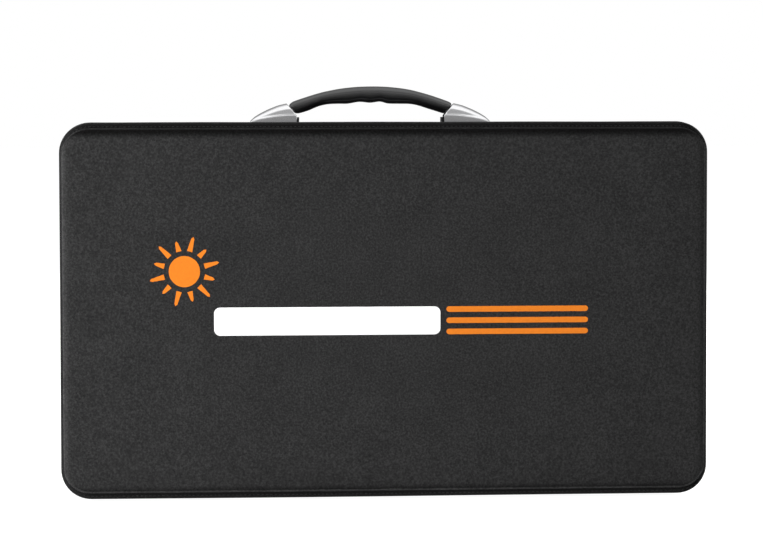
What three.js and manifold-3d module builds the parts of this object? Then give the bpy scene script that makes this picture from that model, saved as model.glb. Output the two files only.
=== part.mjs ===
// Solar suitcase kit, closed and standing upright on its hinge edge.
// Millimetres. +X right, +Y back, +Z up. The origin is the middle of the
// kit's footprint, on the floor. The front face looks along -Y.
//
// The case is a zip-around clamshell that splits on its middle plane (y = 0
// of the case). Each half holds one framed solar module, glass inwards, and
// a side bay: the charge controller in the back half, the battery clamps,
// cable and plug behind a net in the lid half. A bail stand folds flat on the
// back face, and a carry handle sits on the top edge of the back half.
import * as THREE from 'three';
import { mergeVertices } from 'three/addons/utils/BufferGeometryUtils.js';
import Module from 'manifold-3d';

const wasm = await Module();
wasm.setup();

// --------------------------------------------------------- shared dimensions
const CASE_W = 646;            // outer width
const CASE_H = 375;            // outer height, without the handle
const CASE_D = 80;             // outer depth, both halves closed
const HALF_D = CASE_D / 2;
const CORNER_R = 30;           // outline corner radius
const CORNER_STEPS = 8;
const SIDE_WALL = 6;           // padded side wall
const FACE_WALL = 4;           // face board
const GROOVE_IN = 4;           // zip groove depth
const GROOVE_W = 5;            // zip groove width in each half
const GAP = 0.3;               // working clearance between neighbours
const OVERCUT = 1;             // how far a cutting shape runs past a face

const MODULE_X = [-308, 196];  // module outline
const MODULE_Z = [12, 359];

const HANDLE_X = -13;          // handle centre, a little left of the case centre
const HANDLE_Y = 17;
const HANDLE_SPAN = 245;       // tip to tip over the two end caps
const SCREW_FROM_TIP = 28;
const SCREW_HOLE_R = 2.6;
const SCREW_SIDES = 12;

const STAND_Y = 46.5;          // bail rod centre behind the middle plane
const BARREL_R = 6.5;          // stand bracket barrel, the rearmost part

// Name and sign of each half (y) and of each side (x).
const HALVES = [['back', 1], ['lid', -1]];
const SIDES = [['left', -1], ['right', 1]];

const SCREW_X = SIDES.map(([, side]) => HANDLE_X + side * (HANDLE_SPAN / 2 - SCREW_FROM_TIP));

const FINISH = {
  fabric: { color: 0x2f2f31, roughness: 0.9 },
  liner: { color: 0x24262a, roughness: 0.95 },
  tape: { color: 0x1b1b1d, roughness: 0.85 },
  zipMetal: { color: 0x3a3a3d, roughness: 0.4, metalness: 0.9 },
  handleCap: { color: 0xb9bbbe, roughness: 0.3, metalness: 0.95 },
  grip: { color: 0x1c1c1e, roughness: 0.5 },
  handleBase: { color: 0x151517, roughness: 0.55 },
  steel: { color: 0x8b8e92, roughness: 0.45, metalness: 0.9 },
  screw: { color: 0x9a9da1, roughness: 0.4, metalness: 0.9 },
  frame: { color: 0xb4b8bc, roughness: 0.45, metalness: 0.85 },
  glass: { color: 0xdfe8ea, roughness: 0.08 },
  cells: { color: 0x121a33, roughness: 0.35 },
  junctionBox: { color: 0x18191b, roughness: 0.6 },
  controllerBase: { color: 0x2b2d31, roughness: 0.6 },
  controllerCover: { color: 0x3c4046, roughness: 0.5 },
  display: { color: 0x7f8f7c, roughness: 0.2 },
  button: { color: 0xd8741f, roughness: 0.6 },
  terminals: { color: 0x2c6b45, roughness: 0.55 },
  stand: { color: 0x2a2b2d, roughness: 0.5, metalness: 0.6 },
  standFoot: { color: 0x161616, roughness: 0.9 },
  net: { color: 0x1f2022, roughness: 0.95 },
  red: { color: 0xb51f1c, roughness: 0.45 },
  black: { color: 0x17181a, roughness: 0.5 },
  cable: { color: 0x151618, roughness: 0.6 },
};

const kit = new THREE.Group();
// Shifted forward so that the whole depth, stand included, is centred.
kit.position.y = -(STAND_Y + BARREL_R - HALF_D) / 2;

function add(name, geometry, finish, parent = kit) {
  const mesh = new THREE.Mesh(geometry, new THREE.MeshStandardMaterial(finish));
  mesh.name = name;
  parent.add(mesh);
}

// ------------------------------------------------------------ mesh and solid
function welded(geometry) {
  const bare = geometry.clone();
  bare.deleteAttribute('normal');
  bare.deleteAttribute('uv');
  return mergeVertices(bare, 1e-4);
}

// Welds a closed geometry and turns its faces out if they point in.
function outward(geometry) {
  const result = welded(geometry);
  const index = Array.from(result.index.array);
  const vertex = (i) => new THREE.Vector3().fromBufferAttribute(result.attributes.position, index[i]);
  let volume = 0;
  for (let i = 0; i < index.length; i += 3) {
    volume += vertex(i).dot(vertex(i + 1).cross(vertex(i + 2)));
  }
  if (volume < 0) {
    for (let i = 0; i < index.length; i += 3) {
      [index[i + 1], index[i + 2]] = [index[i + 2], index[i + 1]];
    }
  }
  result.setIndex(index);
  result.computeVertexNormals();
  return result;
}

function indexed(positions, index) {
  const geometry = new THREE.BufferGeometry();
  geometry.setAttribute('position', new THREE.Float32BufferAttribute(positions, 3));
  geometry.setIndex(index);
  return geometry;
}

// Closed three.js geometry to a Manifold solid, and back.
function solid(geometry) {
  const mesh = welded(geometry);
  return new wasm.Manifold(new wasm.Mesh({
    numProp: 3,
    vertProperties: Float32Array.from(mesh.attributes.position.array),
    triVerts: Uint32Array.from(mesh.index.array),
  }));
}
function shape(manifold) {
  const mesh = manifold.getMesh();
  const geometry = indexed(mesh.vertProperties, Array.from(mesh.triVerts));
  geometry.computeVertexNormals();
  return geometry;
}
const cut = (body, ...tools) =>
  shape(tools.reduce((rest, tool) => rest.subtract(solid(tool)), solid(body)));
const join = (body, ...others) =>
  shape(others.reduce((sum, other) => sum.add(solid(other)), solid(body)));

// Places a back-half geometry in its half: the lid half (-1) is the mirror image.
function onHalf(geometry, half) {
  if (half > 0) return geometry;
  geometry.scale(1, -1, 1);
  return outward(geometry);
}

// ------------------------------------------------------------- basic shapes
// A range is a [low, high] pair along one axis.
const around = (centre, half) => [centre - half, centre + half];
const inset = ([low, high], by) => [low + by, high - by];

function block([x0, x1], [y0, y1], [z0, z1]) {
  const geometry = new THREE.BoxGeometry(Math.abs(x1 - x0), Math.abs(y1 - y0), Math.abs(z1 - z0));
  geometry.translate((x0 + x1) / 2, (y0 + y1) / 2, (z0 + z1) / 2);
  return geometry;
}

// Cylinder between two points.
function rod(start, end, radius, sides) {
  const from = new THREE.Vector3(...start);
  const to = new THREE.Vector3(...end);
  const geometry = new THREE.CylinderGeometry(radius, radius, from.distanceTo(to), sides);
  const up = new THREE.Vector3(0, 1, 0);
  const along = to.clone().sub(from).normalize();
  geometry.applyQuaternion(new THREE.Quaternion().setFromUnitVectors(up, along));
  geometry.translate((from.x + to.x) / 2, (from.y + to.y) / 2, (from.z + to.z) / 2);
  return geometry;
}

const flatShape = (points) => new THREE.Shape(points.map(([a, b]) => new THREE.Vector2(a, b)));
const extrude = (points, depth) =>
  new THREE.ExtrudeGeometry(flatShape(points), { depth, bevelEnabled: false, steps: 1 });

// Plates: an outline in two axes, filling a range along the third.
function plateXZ(outline, [y0, y1]) {
  const geometry = extrude(outline, y1 - y0);
  geometry.rotateX(Math.PI / 2);        // shape Y -> Z, depth -> -Y
  geometry.translate(0, y1, 0);
  return outward(geometry);
}
function plateXY(outline, [z0, z1]) {
  const geometry = extrude(outline, z1 - z0);
  geometry.translate(0, 0, z0);
  return outward(geometry);
}
function plateYZ(outline, [x0, x1]) {
  const geometry = extrude(outline, x1 - x0);
  geometry.applyMatrix4(new THREE.Matrix4().makeBasis(
    new THREE.Vector3(0, 1, 0), new THREE.Vector3(0, 0, 1), new THREE.Vector3(1, 0, 0)));
  geometry.translate(x0, 0, 0);
  return outward(geometry);
}

// Points of an arc, both ends included; angles in degrees.
function arc(centreX, centreZ, radius, fromAngle, toAngle, steps) {
  const points = [];
  for (let i = 0; i <= steps; i++) {
    const angle = THREE.MathUtils.degToRad(fromAngle + (toAngle - fromAngle) * i / steps);
    points.push([centreX + radius * Math.cos(angle), centreZ + radius * Math.sin(angle)]);
  }
  return points;
}

function roundedRect(xRange, zRange, radius, steps) {
  const [x0, x1] = inset(xRange, radius);
  const [z0, z1] = inset(zRange, radius);
  const corners = [[x1, z1, 0], [x0, z1, 90], [x0, z0, 180], [x1, z0, 270]];
  return corners.flatMap(([x, z, angle]) => arc(x, z, radius, angle, angle + 90, steps));
}

// Closed skin over a stack of loops with the same point count; the first and
// the last loop are capped.
function stack(loops) {
  const count = loops[0].length;
  const index = [];
  for (let k = 0; k + 1 < loops.length; k++) {
    for (let i = 0; i < count; i++) {
      const a = k * count + i;
      const b = k * count + (i + 1) % count;
      index.push(a, b, b + count, a, b + count, a + count);
    }
  }
  const last = (loops.length - 1) * count;
  for (let i = 1; i + 1 < count; i++) {
    index.push(0, i + 1, i);
    index.push(last, last + i, last + i + 1);
  }
  return outward(indexed(loops.flat(2), index));
}

// Surface of revolution about Y; the profile holds [radius, height] points.
const revolve = (profile, sides) =>
  new THREE.LatheGeometry(profile.map(([r, h]) => new THREE.Vector2(r, h)), sides);

// The same about an upright axis at x, y.
function revolveUpright(profile, sides, x, y) {
  const geometry = revolve(profile, sides);
  geometry.rotateX(Math.PI / 2);
  geometry.translate(x, y, 0);
  return outward(geometry);
}

// A curve whose even steps fall exactly on a given list of stations.
class StationCurve extends THREE.Curve {
  constructor(stations) {
    super();
    this.stations = stations.map((point) => new THREE.Vector3(...point));
    this.last = stations.length - 1;
  }
  getPointAt(u, target = new THREE.Vector3()) {
    return target.copy(this.stations[Math.round(u * this.last)]);
  }
  // Mean direction of the two segments that meet at the station.
  getTangentAt(u, target = new THREE.Vector3()) {
    const i = Math.round(u * this.last);
    const here = this.stations[i];
    const arriving = here.clone().sub(this.stations[Math.max(i - 1, 0)]).normalize();
    const leaving = this.stations[Math.min(i + 1, this.last)].clone().sub(here).normalize();
    return target.copy(arriving.add(leaving).normalize());
  }
}

function tube(stations, radius, sides) {
  const section = [];
  for (let i = 0; i < sides; i++) {
    const angle = 2 * Math.PI * i / sides;
    section.push([radius * Math.cos(angle), radius * Math.sin(angle)]);
  }
  return outward(new THREE.ExtrudeGeometry(flatShape(section), {
    steps: stations.length - 1,
    bevelEnabled: false,
    extrudePath: new StationCurve(stations),
  }));
}

// Polyline with each inner corner replaced by an arc of the given radius.
function bentPath(points, radius, steps) {
  const path = [points[0]];
  for (let i = 1; i + 1 < points.length; i++) {
    const corner = new THREE.Vector3(...points[i]);
    const before = new THREE.Vector3(...points[i - 1]).sub(corner).normalize();
    const after = new THREE.Vector3(...points[i + 1]).sub(corner).normalize();
    const halfAngle = before.angleTo(after) / 2;
    const setback = radius / Math.tan(halfAngle);
    const bisector = before.clone().add(after).normalize();
    const centre = corner.clone().addScaledVector(bisector, radius / Math.sin(halfAngle));
    const start = corner.clone().addScaledVector(before, setback).sub(centre);
    const end = corner.clone().addScaledVector(after, setback).sub(centre);
    const sweep = start.angleTo(end);
    const axis = start.clone().cross(end).normalize();
    for (let k = 0; k <= steps; k++) {
      path.push(start.clone().applyAxisAngle(axis, sweep * k / steps).add(centre).toArray());
    }
  }
  path.push(points[points.length - 1]);
  return path;
}

// ------------------------------------------------------------- case shells
const EDGE_R = 11;             // fillet between a side and a face
const EDGE_STEPS = 5;
const RIM = 0.3;               // half the gap between the two rims

const caseOutline = (by, steps) =>
  roundedRect(inset(around(0, CASE_W / 2), by), inset([0, CASE_H], by), CORNER_R - by, steps);

// A tray: face board, padded side wall, zip groove at the rim.
function caseShell(half) {
  const loop = (by, depth) => caseOutline(by, CORNER_STEPS).map(([x, z]) => [x, half * depth, z]);
  const loops = [];
  for (let i = 0; i <= EDGE_STEPS; i++) {
    const angle = Math.PI / 2 * i / EDGE_STEPS;
    loops.push(loop(EDGE_R * (1 - Math.sin(angle)), HALF_D - EDGE_R * (1 - Math.cos(angle))));
  }
  loops.push(
    loop(0, GROOVE_W),
    loop(GROOVE_IN, GROOVE_W),
    loop(GROOVE_IN, RIM),
    loop(SIDE_WALL, RIM),
    loop(SIDE_WALL, HALF_D - FACE_WALL));
  return stack(loops);
}

const screwHole = (x, [z0, z1]) =>
  rod([x, HANDLE_Y, z0], [x, HANDLE_Y, z1], SCREW_HOLE_R, SCREW_SIDES);

const wallHoles = SCREW_X.map((x) => screwHole(x, [CASE_H - SIDE_WALL - 3, CASE_H + 3]));
add('back_shell', cut(caseShell(1), ...wallHoles), FINISH.fabric);
add('lid_shell', caseShell(-1), FINISH.fabric);

// ----------------------------------------------------------- liner and spine
const LINER_T = 3;             // padded liner
const LINER_INSET = SIDE_WALL + 0.6;
const DIVIDER_X0 = 197;
const DIVIDER_FRONT = 2.4;     // divider's edge, from the middle plane
const DIVIDER_TOP_GAP = 4;     // to the case's top wall
const DIVIDER_SINK = 1;        // overlap of the divider and the pad

// Padded liner: a pad on the face board and a divider beside the module.
function liner(half) {
  const back = HALF_D - FACE_WALL - GAP;
  const front = back - LINER_T;
  const pad = plateXZ(caseOutline(LINER_INSET, 6), [front, back]);
  const divider = block([DIVIDER_X0, DIVIDER_X0 + LINER_T], [DIVIDER_FRONT, front + DIVIDER_SINK],
    [MODULE_Z[0], CASE_H - SIDE_WALL - DIVIDER_TOP_GAP]);
  return onHalf(join(pad, divider), half);
}
for (const [name, half] of HALVES) add(`${name}_liner`, liner(half), FINISH.liner);

const SPINE_Z = [0.2, 2.7];
const SPINE_END = 2;           // from the corner arc to the spine's end

// Fabric spine along the bottom edge, one leaf on each half.
function spineLeaf(half) {
  const xRange = around(0, CASE_W / 2 - CORNER_R - SPINE_END);
  return onHalf(block(xRange, [0.3, GROOVE_W - GAP], SPINE_Z), half);
}
for (const [name, half] of HALVES) add(`${name}_spine`, spineLeaf(half), FINISH.tape);

// ----------------------------------------------------------------- zip tape
const TAPE_OUTER = GROOVE_IN - 1;      // insets from the case outline
const TAPE_INNER = GROOVE_IN - GAP;
const TAPE_START_Z = 36;
const TAPE_MARGIN = 0.4;               // tape edge to the groove's ends in y

// Zip tape on the left, top and right of each half, lying in the groove.
function zipTape(half) {
  const centreX = CASE_W / 2 - CORNER_R;
  const centreZ = CASE_H - CORNER_R;
  const path = (by) => [
    [-CASE_W / 2 + by, TAPE_START_Z],
    ...arc(-centreX, centreZ, CORNER_R - by, 180, 90, CORNER_STEPS),
    ...arc(centreX, centreZ, CORNER_R - by, 90, 0, CORNER_STEPS),
    [CASE_W / 2 - by, TAPE_START_Z],
  ];
  const outline = [...path(TAPE_OUTER), ...path(TAPE_INNER).reverse()];
  return onHalf(plateXZ(outline, inset([0, GROOVE_W], TAPE_MARGIN)), half);
}
for (const [name, half] of HALVES) add(`${name}_zip_tape`, zipTape(half), FINISH.tape);

// -------------------------------------------------------------- zip sliders
const SLIDER_L = 12.5;
const SLIDER_Z = [CASE_H - 1.7, CASE_H + 0.6];
const SLIDER_APART = 1.5;      // slider's inner end to the handle centre
const EAR_Y = [3.2, 4.4];
const EAR_SINK = 0.6;          // overlap of an ear and the slider body
const EAR_PAST_AXIS = 1.2;
const PULL_REACH = 2.2;        // from the slider's end to the tab's axis
const PULL_AXIS_Z = CASE_H - 0.7;
const PULL_Z = around(PULL_AXIS_Z, 0.9);
const KNUCKLE_R = 0.95;
const KNUCKLE_HALF_W = 2.8;
const STEM_L = 4.2;
// [distance outwards, y]: the slider from its inner end, the tab from its axis.
const SLIDER_PLAN = [[0, -3.6], [2, -4.5], [SLIDER_L, -4.5], [SLIDER_L, 4.5], [2, 4.5], [0, 3.6]];
const TAB_PLAN = [[3, -3.4], [23, -3.8], [26, -2.2], [26, 2.2], [23, 3.8], [3, 3.4]];

// Two sliders meet under the handle; each pull tab lies outwards in the groove.
const sliderX = (side, distance) => HANDLE_X + side * (SLIDER_APART + distance);

function zipSlider(side) {
  const body = plateXY(SLIDER_PLAN.map(([d, y]) => [sliderX(side, d), y]), SLIDER_Z);
  const earX = [SLIDER_L - EAR_SINK, SLIDER_L + PULL_REACH + EAR_PAST_AXIS];
  const ear = (ySide) => block(earX.map((d) => sliderX(side, d)), EAR_Y.map((y) => ySide * y),
    [SLIDER_Z[0] + 0.1, PULL_Z[1]]);
  return join(body, ear(1), ear(-1));
}

function zipPull(side) {
  const axisX = sliderX(side, SLIDER_L + PULL_REACH);
  const knuckle = rod([axisX, -KNUCKLE_HALF_W, PULL_AXIS_Z], [axisX, KNUCKLE_HALF_W, PULL_AXIS_Z],
    KNUCKLE_R, 12);
  const stem = block([axisX, axisX + side * STEM_L], around(0, KNUCKLE_HALF_W), PULL_Z);
  const tab = plateXY(TAB_PLAN.map(([d, y]) => [axisX + side * d, y]), PULL_Z);
  return join(knuckle, stem, tab);
}
for (const [name, side] of SIDES) add(`zip_slider_${name}`, zipSlider(side), FINISH.zipMetal);
for (const [name, side] of SIDES) add(`zip_pull_${name}`, zipPull(side), FINISH.zipMetal);

// ------------------------------------------------------------ solar modules
const MODULE_FRONT = 4.4;      // module's glass side, from the middle plane
const MODULE_T = 28;           // frame depth
const FRAME_WALL = 1.8;
const LIP_IN = 8;              // reach of the two front lips
const LIP_T = 1.5;
const SLOT_END = 6.2;          // back of the slot between the lips
const FLANGE_IN = 16;          // reach of the back flange
const FLANGE_T = 1.6;
const MITRE = 0.15;            // shortening of each bar at its mitred ends
const GLASS_T = 3.2;
const BOX_Z = [280, 340];      // junction box
const BOX_HALF_W = 45;
const BOX_DEPTH = [6.3, 20];   // depths from the module's glass side
const BOX_LID_DEPTH = [BOX_DEPTH[1] + GAP, 22.6];
const BOX_LID_INSET = 2;

// Frame section: [inwards from the outer wall, from the glass side to the back].
// The slot between the two front lips holds the glass and cells.
const SECTION = [
  [0, 0], [LIP_IN, 0], [LIP_IN, LIP_T], [FRAME_WALL, LIP_T],
  [FRAME_WALL, SLOT_END], [LIP_IN, SLOT_END], [LIP_IN, SLOT_END + LIP_T],
  [FRAME_WALL, SLOT_END + LIP_T], [FRAME_WALL, MODULE_T - FLANGE_T],
  [FLANGE_IN, MODULE_T - FLANGE_T], [FLANGE_IN, MODULE_T], [0, MODULE_T],
];

// The [x, z] of a bar's two ends, at a distance inwards from the outer wall.
function barEnds(edge, inwards) {
  const [x0, x1] = inset(MODULE_X, inwards);
  const [z0, z1] = inset(MODULE_Z, inwards);
  return {
    top: [[x0 + MITRE, z1], [x1 - MITRE, z1]],
    bottom: [[x0 + MITRE, z0], [x1 - MITRE, z0]],
    left: [[x0, z0 + MITRE], [x0, z1 - MITRE]],
    right: [[x1, z0 + MITRE], [x1, z1 - MITRE]],
  }[edge];
}

function frameBar(edge, half) {
  const endLoop = (end) => SECTION.map(([inwards, depth]) => {
    const [x, z] = barEnds(edge, inwards)[end];
    return [x, half * (MODULE_FRONT + depth), z];
  });
  const count = SECTION.length;
  const index = [];
  for (let i = 0; i < count; i++) {
    const next = (i + 1) % count;
    index.push(i, next, count + next, i, count + next, count + i);
  }
  // The ends are mitred, so they are triangulated from the section's outline.
  const flat = SECTION.map(([u, v]) => new THREE.Vector2(u, v));
  for (const [a, b, c] of THREE.ShapeUtils.triangulateShape(flat, [])) {
    index.push(a, c, b, count + a, count + b, count + c);
  }
  return outward(indexed([...endLoop(0), ...endLoop(1)].flat(), index));
}

// Glass or cells: a slab that fills the frame between two depths.
function slab(depths, half) {
  const margin = FRAME_WALL + GAP;
  return block(inset(MODULE_X, margin), depths.map((depth) => half * (MODULE_FRONT + depth)),
    inset(MODULE_Z, margin));
}

function junctionPart(margin, radius, depths, half) {
  const xRange = around((MODULE_X[0] + MODULE_X[1]) / 2, BOX_HALF_W - margin);
  const outline = roundedRect(xRange, inset(BOX_Z, margin), radius, 4);
  return onHalf(plateXZ(outline, depths.map((depth) => MODULE_FRONT + depth)), half);
}

for (const [name, half] of HALVES) {
  for (const edge of ['top', 'bottom', 'left', 'right']) {
    add(`${name}_frame_${edge}`, frameBar(edge, half), FINISH.frame);
  }
  const glassFront = LIP_T + GAP;
  const glassBack = glassFront + GLASS_T;
  add(`${name}_glass`, slab([glassFront, glassBack], half), FINISH.glass);
  add(`${name}_cells`, slab([glassBack + GAP, SLOT_END - GAP], half), FINISH.cells);
  add(`${name}_junction_box`, junctionPart(0, 8, BOX_DEPTH, half), FINISH.junctionBox);
  add(`${name}_junction_lid`, junctionPart(BOX_LID_INSET, 7, BOX_LID_DEPTH, half),
    FINISH.junctionBox);
}

// -------------------------------------------------------- charge controller
const CONTROLLER_X = [207, 307];
const CONTROLLER_MID = (CONTROLLER_X[0] + CONTROLLER_X[1]) / 2;
const CONTROLLER_Z = [130, 280];
const CONTROLLER_FRONT = 4.6;
const CONTROLLER_SPLIT = 13.8; // back of the cover
const CONTROLLER_BACK = 32.3;
const WINDOW_X = around(CONTROLLER_MID, 34);
const WINDOW_Z = [CONTROLLER_Z[1] - 62, CONTROLLER_Z[1] - 20];
const WINDOW_DEPTH = 2.4;
const DISPLAY_GAP = 0.4;       // all round the display in its window
const BUTTON_OUT = 22;         // button centre from the middle
const BUTTON_Z = CONTROLLER_Z[0] + 34;
const BUTTON_R = 6;
const BUTTON_GAP = 0.4;
const BUTTON_Y = [CONTROLLER_FRONT - 1.2, CONTROLLER_FRONT + 3];
const BUTTON_WELL = 4.6;       // depth of the well behind the cover's face
const TERMINAL_COUNT = 6;
const TERMINAL_PITCH = 12;
const TERMINAL_SLOT = [2.5, 9.5];      // slot in x within one pitch
const TERMINAL_SLOT_H = 6;
const TERMINAL_Z = [CONTROLLER_Z[0] - 15, CONTROLLER_Z[0] - GAP];
const TERMINAL_Y = [12, 26];

const controllerPlate = (yRange) =>
  plateXZ(roundedRect(CONTROLLER_X, CONTROLLER_Z, 7, 4), yRange);

const buttonCylinder = (side, [y0, y1], radius) => {
  const x = CONTROLLER_MID + side * BUTTON_OUT;
  return rod([x, y0, BUTTON_Z], [x, y1, BUTTON_Z], radius, 24);
};

function controllerCover() {
  const cutFrom = CONTROLLER_FRONT - OVERCUT;
  const window = block(WINDOW_X, [cutFrom, CONTROLLER_FRONT + WINDOW_DEPTH], WINDOW_Z);
  const wells = SIDES.map(([, side]) =>
    buttonCylinder(side, [cutFrom, CONTROLLER_FRONT + BUTTON_WELL], BUTTON_R + BUTTON_GAP));
  return cut(controllerPlate([CONTROLLER_FRONT, CONTROLLER_SPLIT]), window, ...wells);
}

const controllerDisplay = () => block(inset(WINDOW_X, DISPLAY_GAP),
  inset([CONTROLLER_FRONT, CONTROLLER_FRONT + WINDOW_DEPTH], DISPLAY_GAP),
  inset(WINDOW_Z, DISPLAY_GAP));

// Terminal block under the housing, slotted from below.
function controllerTerminals() {
  const [x0, x1] = around(CONTROLLER_MID, TERMINAL_COUNT * TERMINAL_PITCH / 2);
  const [bottom, top] = TERMINAL_Z;
  const slotTop = bottom + TERMINAL_SLOT_H;
  const outline = [[x0, bottom], [x0, top], [x1, top], [x1, bottom]];
  for (let i = TERMINAL_COUNT - 1; i >= 0; i--) {
    const [left, right] = TERMINAL_SLOT.map((x) => x0 + TERMINAL_PITCH * i + x);
    outline.push([right, bottom], [right, slotTop], [left, slotTop], [left, bottom]);
  }
  return plateXZ(outline, TERMINAL_Y);
}

add('controller_base', controllerPlate([CONTROLLER_SPLIT + GAP, CONTROLLER_BACK]),
  FINISH.controllerBase);
add('controller_cover', controllerCover(), FINISH.controllerCover);
add('controller_display', controllerDisplay(), FINISH.display);
for (const [name, side] of SIDES) {
  add(`controller_button_${name}`, buttonCylinder(side, BUTTON_Y, BUTTON_R), FINISH.button);
}
add('controller_terminals', controllerTerminals(), FINISH.terminals);

// --------------------------------------------------------- handle end caps
const CAP_W = 23;
const CAP_L = 48;
const CAP_ROOM_HALF_W = 7.5;   // hollow inside a cap
// Side outlines, [from the tip towards the grip, height]: the cap and its hollow.
const CAP_SIDE = [
  [0, 0], [5, 5.2], [11, 8.8], [19, 12.9], [29, 17], [38, 19], [CAP_L, 6.4], [CAP_L, 0],
];
const CAP_ROOM = [
  [8, -1], [8, 4.2], [19, 10.2], [29, 14.6], [38, 16.9], [41.5, 17.2], [60, 17.2], [60, -1],
];
// Half plan, [from the tip towards the grip, half width].
const CAP_PLAN = [[0, 2.4], [4, 5.4], [10, 8.4], [20, 10.8], [30, CAP_W / 2], [CAP_L + 1, CAP_W / 2]];

const FOOT_X = [9, CAP_L + 2];
const FOOT_HALF_W = 7.1;
const FOOT_T = 2.9;
const FOOT_HOLE_TOP = 2.4;
const LIP_X = [CAP_L + 0.4, CAP_L + 2.4];
const LIP_HALF_W = 10.2;
const LIP_H = 5;

function handleCap() {
  const plan = [...CAP_PLAN.map(([x, y]) => [x, -y]), ...[...CAP_PLAN].reverse()];
  return shape(solid(plateXZ(CAP_SIDE, around(0, CAP_W / 2 + OVERCUT)))
    .intersect(solid(plateXY(plan, [-OVERCUT, 30])))
    .subtract(solid(plateXZ(CAP_ROOM, around(0, CAP_ROOM_HALF_W)))));
}

// Foot under the cap, with a lip showing at its inner end.
function handleBase() {
  const foot = block(FOOT_X, around(0, FOOT_HALF_W), [0, FOOT_T]);
  const lip = block(LIP_X, around(0, LIP_HALF_W), [0, LIP_H]);
  const hole = rod([SCREW_FROM_TIP, 0, -OVERCUT], [SCREW_FROM_TIP, 0, FOOT_HOLE_TOP],
    SCREW_HOLE_R, SCREW_SIDES);
  return shape(solid(foot).add(solid(lip)).subtract(solid(hole)));
}

// Each end is built from its tip along +X; the right one is mirrored.
for (const [name, side] of SIDES) {
  const end = new THREE.Group();
  end.position.set(HANDLE_X + side * HANDLE_SPAN / 2, HANDLE_Y, CASE_H + GAP);
  end.scale.set(-side, 1, 1);
  kit.add(end);
  add(`handle_cap_${name}`, handleCap(), FINISH.handleCap, end);
  add(`handle_base_${name}`, handleBase(), FINISH.handleBase, end);
}

// -------------------------------------------------------------- handle grip
// Stations along the grip, [x, height above the case]: upper and lower edge.
const GRIP_TOP = [
  [-95.3, 17.3], [-89, 21.0], [-77, 24.9], [-69, 27.5], [-61, 30.0], [-53, 32.2],
  [-45, 34.4], [-34, 35.8], [-24, 36.4], [-12, 36.6], [-3, 36.3], [5, 35.9],
  [17, 35.0], [27, 33.4], [37, 30.8], [49, 26.9], [61, 22.8], [70.0, 19.0],
];
const GRIP_LOW = [
  [-88.7, 9.2], [-83, 10.0], [-75, 12.6], [-70, 14.9], [-63, 18.2], [-55, 19.4],
  [-45, 19.6], [-34, 19.6], [-24, 21.8], [-12, 20.3], [-3, 22.0], [5, 19.6],
  [17, 19.6], [27, 19.4], [35, 18.2], [45, 15.2], [55, 11.8], [62.6, 9.1],
];
const GRIP_SIDES = 16;
const GRIP_END_HALF_W = 8.6;
const GRIP_SWELL = 2.4;        // extra half width at the middle
const GRIP_SQUARENESS = 0.8;   // exponent of the section; 1 is an ellipse
// [outwards from the handle centre, height above the case]
const TONGUE_SIDE = [[74, 13.4], [91, 7.6], [91, 5.1], [74, 10.9]];
const TONGUE_HALF_W = 6.4;

function gripLoop([topX, topZ], [lowX, lowZ], halfWidth) {
  const soften = (value) => Math.sign(value) * Math.abs(value) ** GRIP_SQUARENESS;
  const loop = [];
  for (let i = 0; i < GRIP_SIDES; i++) {
    const angle = 2 * Math.PI * i / GRIP_SIDES;
    const rise = soften(Math.sin(angle));
    loop.push([
      (topX + lowX) / 2 + (topX - lowX) / 2 * rise,
      HANDLE_Y + halfWidth * soften(Math.cos(angle)),
      CASE_H + (topZ + lowZ) / 2 + (topZ - lowZ) / 2 * rise,
    ]);
  }
  return loop;
}

// A soft arch with a wavy underside, and a flat tongue at each end that
// reaches into its cap.
function handleGrip() {
  const loops = GRIP_TOP.map((top, k) => {
    const along = k / (GRIP_TOP.length - 1);
    return gripLoop(top, GRIP_LOW[k], GRIP_END_HALF_W + GRIP_SWELL * Math.sin(Math.PI * along));
  });
  const tongues = SIDES.map(([, side]) => plateXZ(
    TONGUE_SIDE.map(([out, height]) => [HANDLE_X + side * out, CASE_H + height]),
    around(HANDLE_Y, TONGUE_HALF_W)));
  return join(stack(loops), ...tongues);
}
add('handle_grip', handleGrip(), FINISH.grip);

// --------------------------------------------------------- handle fixings
const PLATE_TOP = CASE_H - SIDE_WALL - GAP;
const PLATE_Z = [PLATE_TOP - 3, PLATE_TOP];
const PLATE_END = 22;          // plate's end beyond the screw
const PLATE_HALF_W = 10;
const SCREW_R = 2.2;
const SCREW_HEAD_R = 4.4;
const SCREW_TOP = CASE_H + 2.2;

// Steel plate inside the top wall.
function handlePlate() {
  const plate = block([SCREW_X[0] - PLATE_END, SCREW_X[1] + PLATE_END],
    around(HANDLE_Y, PLATE_HALF_W), PLATE_Z);
  return cut(plate, ...SCREW_X.map((x) => screwHole(x, inset(PLATE_Z, -2))));
}

// Screw up through the plate and the wall into a foot, head below.
function handleScrew(x) {
  const seat = PLATE_Z[0] - GAP;
  const profile = [
    [0, seat - 2.5], [3.4, seat - 2.5], [SCREW_HEAD_R, seat - 1.6], [SCREW_HEAD_R, seat],
    [SCREW_R, seat], [SCREW_R, SCREW_TOP], [0, SCREW_TOP],
  ];
  return revolveUpright(profile, SCREW_SIDES, x, HANDLE_Y);
}
add('handle_plate', handlePlate(), FINISH.steel);
SIDES.forEach(([name], i) => add(`handle_screw_${name}`, handleScrew(SCREW_X[i]), FINISH.screw));

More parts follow.
